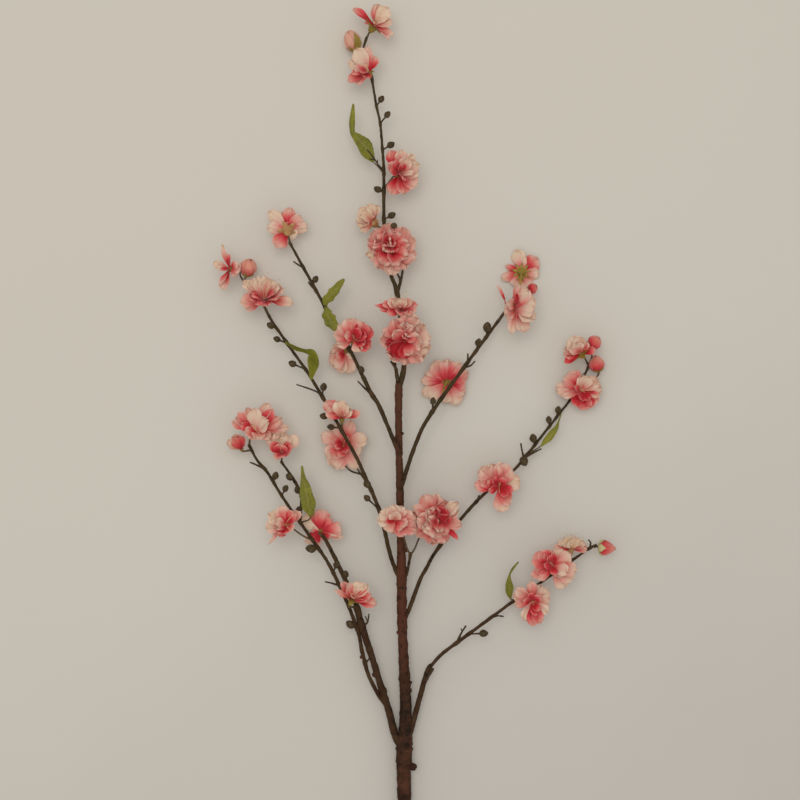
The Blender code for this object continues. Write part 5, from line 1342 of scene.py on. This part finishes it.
def furled_blade(turn, bud_form, spread, top, matrix, material, colours):
    """A petal or sepal of a closed bud, wrapped round it from the foot of the bud.

    top is how far up the bud it reaches. spread holds the half angle it covers at its foot, halfway
    and at its top, and how far out it lies as a share of the bud's own radius there.
    """
    wide, length, pinch = bud_form
    foot_span, mid_span, top_span, outward = spread
    blade = copy_of(PETAL_TEMPLATE)
    for point in blade.data.vertices:
        s, t = point.co.x, (point.co.y + 1) / 2
        height = top * t * (1 - 0.16 * abs(s) ** 3 - 0.03 * math.sin(s * 6 + turn))
        near, far, share = ((foot_span, mid_span, t * 2) if t < 0.5
                            else (mid_span, top_span, t * 2 - 1))
        side = math.sin(math.pi * (0.04 + height * 0.93) ** pinch) ** (0.6 if pinch > 1 else 0.8)
        out = wide * side * (outward + 0.07 * s)
        angle = turn + s * (near + (far - near) * share)
        point.co = on_frame(matrix @ Vector((out * math.cos(angle), out * math.sin(angle),
                                             height * length)))
    colour_points(blade, colours)
    blade.data.materials.append(material)
    return blade


def build_egg(name, spec):
    """A closed bud: furled petals wrapped round each other, held by the sepals of its calyx."""
    facing = Vector(spec["to"]).normalized()
    matrix = aim(Vector(spec["at"]), facing, 30)
    wide, length = spec["wide"], spec["r"]
    redness, cream, pinch, cap, right = BUD_LOOKS[name]
    form = (wide, length, pinch)
    rng = random.Random(name)
    blades = [furled_blade(k * 2.4, form, (0.85, 1.3, 1.1, 1 + 0.05 * math.sin(k * 2.1)), 1.0,
                           matrix, BUD_ROSE, (redness + rng.uniform(-0.2, 0.2), cream, k * 3.0))
              for k in range(6)]
    green = CALYX_COLOURS[DETAILS.get(name, {}).get("calyx", "yellow")]
    turns = [math.tau * k / 5 for k in range(5)]
    sides = [matrix.to_3x3() @ Vector((math.cos(a), math.sin(a), 0)) for a in turns]
    longest = max(range(5), key=lambda k: sides[k].x + 0.6 * sides[k].z)
    for k, turn in enumerate(turns):
        reach = right if k == longest else cap * rng.uniform(0.85, 1.0)
        blades.append(furled_blade(turn, form, (0.66, 0.5, 0.06, 1.13), reach, matrix, green,
                                   (0, 0, k)))
    body = join(name + "_petals", blades)
    apply_modifier(body, "SOLIDIFY", thickness=PETAL_THICKNESS * MM, offset=0)
    core = bud_template(name + "_core", BUD_ROSE, 0, 3, pinch, 0.6 if pinch > 1 else 0.8)
    colour_points(core, (redness, cream, 3.0))
    place(core, matrix @ Matrix.Diagonal((wide * 0.88, wide * 0.88, length * 0.93, 1)))
    bpy.ops.mesh.primitive_uv_sphere_add(segments=10, ring_count=6, radius=1)
    knob = bpy.context.object
    knob.data.materials.append(green)
    place(knob, matrix @ Matrix.Translation((0, 0, 0.8)) @ Matrix.Diagonal((1.9, 1.9, 1.7, 1)))
    made = join(name.replace("bud", "closed_bud"), [body, core, knob])
    smooth(made, 60)
    return made


def build_leaf(name, spec):
    """A leaf as one thin blade, folded along its midrib, with a waved and toothed edge."""
    path = smooth_path(spec["rib"], 0.4)
    bpy.ops.mesh.primitive_grid_add(x_subdivisions=LEAF_COLUMNS, y_subdivisions=LEAF_ROWS,
                                    size=2, calc_uvs=True)
    leaf = bpy.context.object
    ragged = spec.get("ragged", LEAF_RAGGED)
    crease = spec.get("crease", LEAF_CREASE)
    for point in leaf.data.vertices:
        s, t = point.co.x, (point.co.y + 1) / 2
        at = t * (len(path) - 1)
        k = min(int(at), len(path) - 2)
        knot = path[k].lerp(path[k + 1], at - k)
        run = (path[min(k + 2, len(path) - 1)].xyz - path[max(k - 1, 0)].xyz).normalized()
        side = Vector((run.y, -run.x, 0)).normalized()
        teeth = abs(math.sin(t * 46)) + math.sin(t * 21 + 2 * s)
        half = max(knot.w, 0.25) * (1 + ragged * teeth * abs(s) * (1 - t))
        fold = crease * half * abs(s) + 0.1 * half * math.sin(t * 17 + s * 2) * s * s
        point.co = on_frame(knot.xyz + side * half * s + Vector((0, 0, fold)))
    if name.startswith("petal"):
        leaf.data.materials.append(PETAL_PINK)
        colour_points(leaf, (0.5, 0.0, 3.0))
    else:
        leaf.data.materials.append(LEAF_GREEN)
    apply_modifier(leaf, "SOLIDIFY", thickness=LEAF_THICKNESS * MM, offset=0)
    smooth(leaf, 60)
    leaf.name = name.replace("leaf", "green_leaf").replace("petal_loose", "stray_petal")
    return leaf


def finish_piece(piece, slot, *nodes):
    """Keeps a piece inside the size of the solids, hangs it on the root body and hides the nodes it
    stands for.
    """
    low, high = CAD_BOX
    for point in piece.data.vertices:
        point.co = [min(max(value, least), most) for value, least, most in zip(point.co, low, high)]
    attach(piece, "root")
    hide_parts(*nodes)


# --- Room, light and camera --------------------------------------------------------------------


def add_area(name, place_at, target, size, power, colour):
    """A round soft light that shines from one point towards another."""
    light = bpy.data.lights.new(name, "AREA")
    light.shape = "DISK"
    light.size = size
    light.energy = power
    light.color = colour
    lamp = bpy.data.objects.new(name, light)
    lamp.location = place_at
    lamp.rotation_euler = (Vector(target) - Vector(place_at)).to_track_quat("-Z", "Y").to_euler()
    bpy.context.scene.collection.objects.link(lamp)


def build_floor():
    """The pale floor, with painted shade that darkens it a little to the lower right."""
    bpy.ops.mesh.primitive_plane_add(size=6)
    floor = bpy.context.object
    floor.name = "floor"
    made, tree, shader = new_material("floor_paint", 0.9)
    place_on = add_node(tree, "ShaderNodeTexCoord").outputs["Object"]
    right, up, _ = add_node(tree, "ShaderNodeSeparateXYZ", {"Vector": place_on}).outputs
    # Painted shade: the floor's colour darkens towards the lower right, as if the light fell off there.
    painted_shade = math_node(tree, "SUBTRACT", math_node(tree, "MULTIPLY", right, 0.6), up)
    painted_shade = math_node(tree, "MULTIPLY_ADD", painted_shade, 0.75, 0.5)
    cloud = math_node(tree, "MULTIPLY_ADD", mottle(tree, 1.6, 5), 0.6, -0.3)
    painted_shade = math_node(tree, "ADD", painted_shade, cloud, clamp=True)
    colour = ramp(tree, painted_shade, (0.0, tone(212, 206, 194)), (0.5, tone(210, 204, 194)),
                  (1.0, tone(196, 191, 184)))
    tree.links.new(colour, shader.inputs["Base Color"])
    floor.data.materials.append(made)


def light_room():
    """A pale room all round and one large soft lamp above."""
    world = bpy.data.worlds.new("room")
    bpy.context.scene.world = world
    world.use_nodes = True
    back = world.node_tree.nodes["Background"]
    back.inputs["Color"].default_value = (1.0, 0.985, 0.96, 1)
    back.inputs["Strength"].default_value = 0.62
    add_area("soft_key", (-0.2, 0.4, 2.3), (0, 0, 0), 1.7, 15.8, (1.0, 0.97, 0.92))
    bpy.context.scene.view_settings.view_transform = "Standard"


def place_camera():
    """The camera, which looks straight down."""
    camera = bpy.data.cameras.new("camera")
    camera.lens = 60
    camera.sensor_width = 36
    camera.clip_end = 20
    holder = bpy.data.objects.new("camera", camera)
    bpy.context.scene.collection.objects.link(holder)
    holder.location = (*on_frame((*CAMERA_OVER, 0)).xy, CAMERA_HEIGHT)
    bpy.context.scene.camera = holder


# --- The sprig ---------------------------------------------------------------------------------

PETAL_TEMPLATE = flat_petal()
STAMEN_THREAD, ANTHER_BALL = stamen_template()

for piece in (build_wood(), build_twigs(), build_dark_buds(), build_stalks()):
    finish_piece(piece, "wood", "wood")
for flower, spec in FLOWERS.items():
    finish_piece(build_flower(flower, spec, PETAL_PINK), "petal", flower)
for bud, spec in BUDS.items():
    if spec["kind"] == "egg":
        finish_piece(build_egg(bud, spec), "bud", bud)
    else:
        finish_piece(build_flower(bud, spec, BUD_ROSE), "bud", bud)
for leaf_name, spec in LEAVES.items():
    loose_petal = leaf_name.startswith("petal")
    finish_piece(build_leaf(leaf_name, spec), "petal" if loose_petal else "leaf", leaf_name)
for template in (PETAL_TEMPLATE, STAMEN_THREAD, ANTHER_BALL):
    bpy.data.objects.remove(template)

build_floor()
light_room()
place_camera()
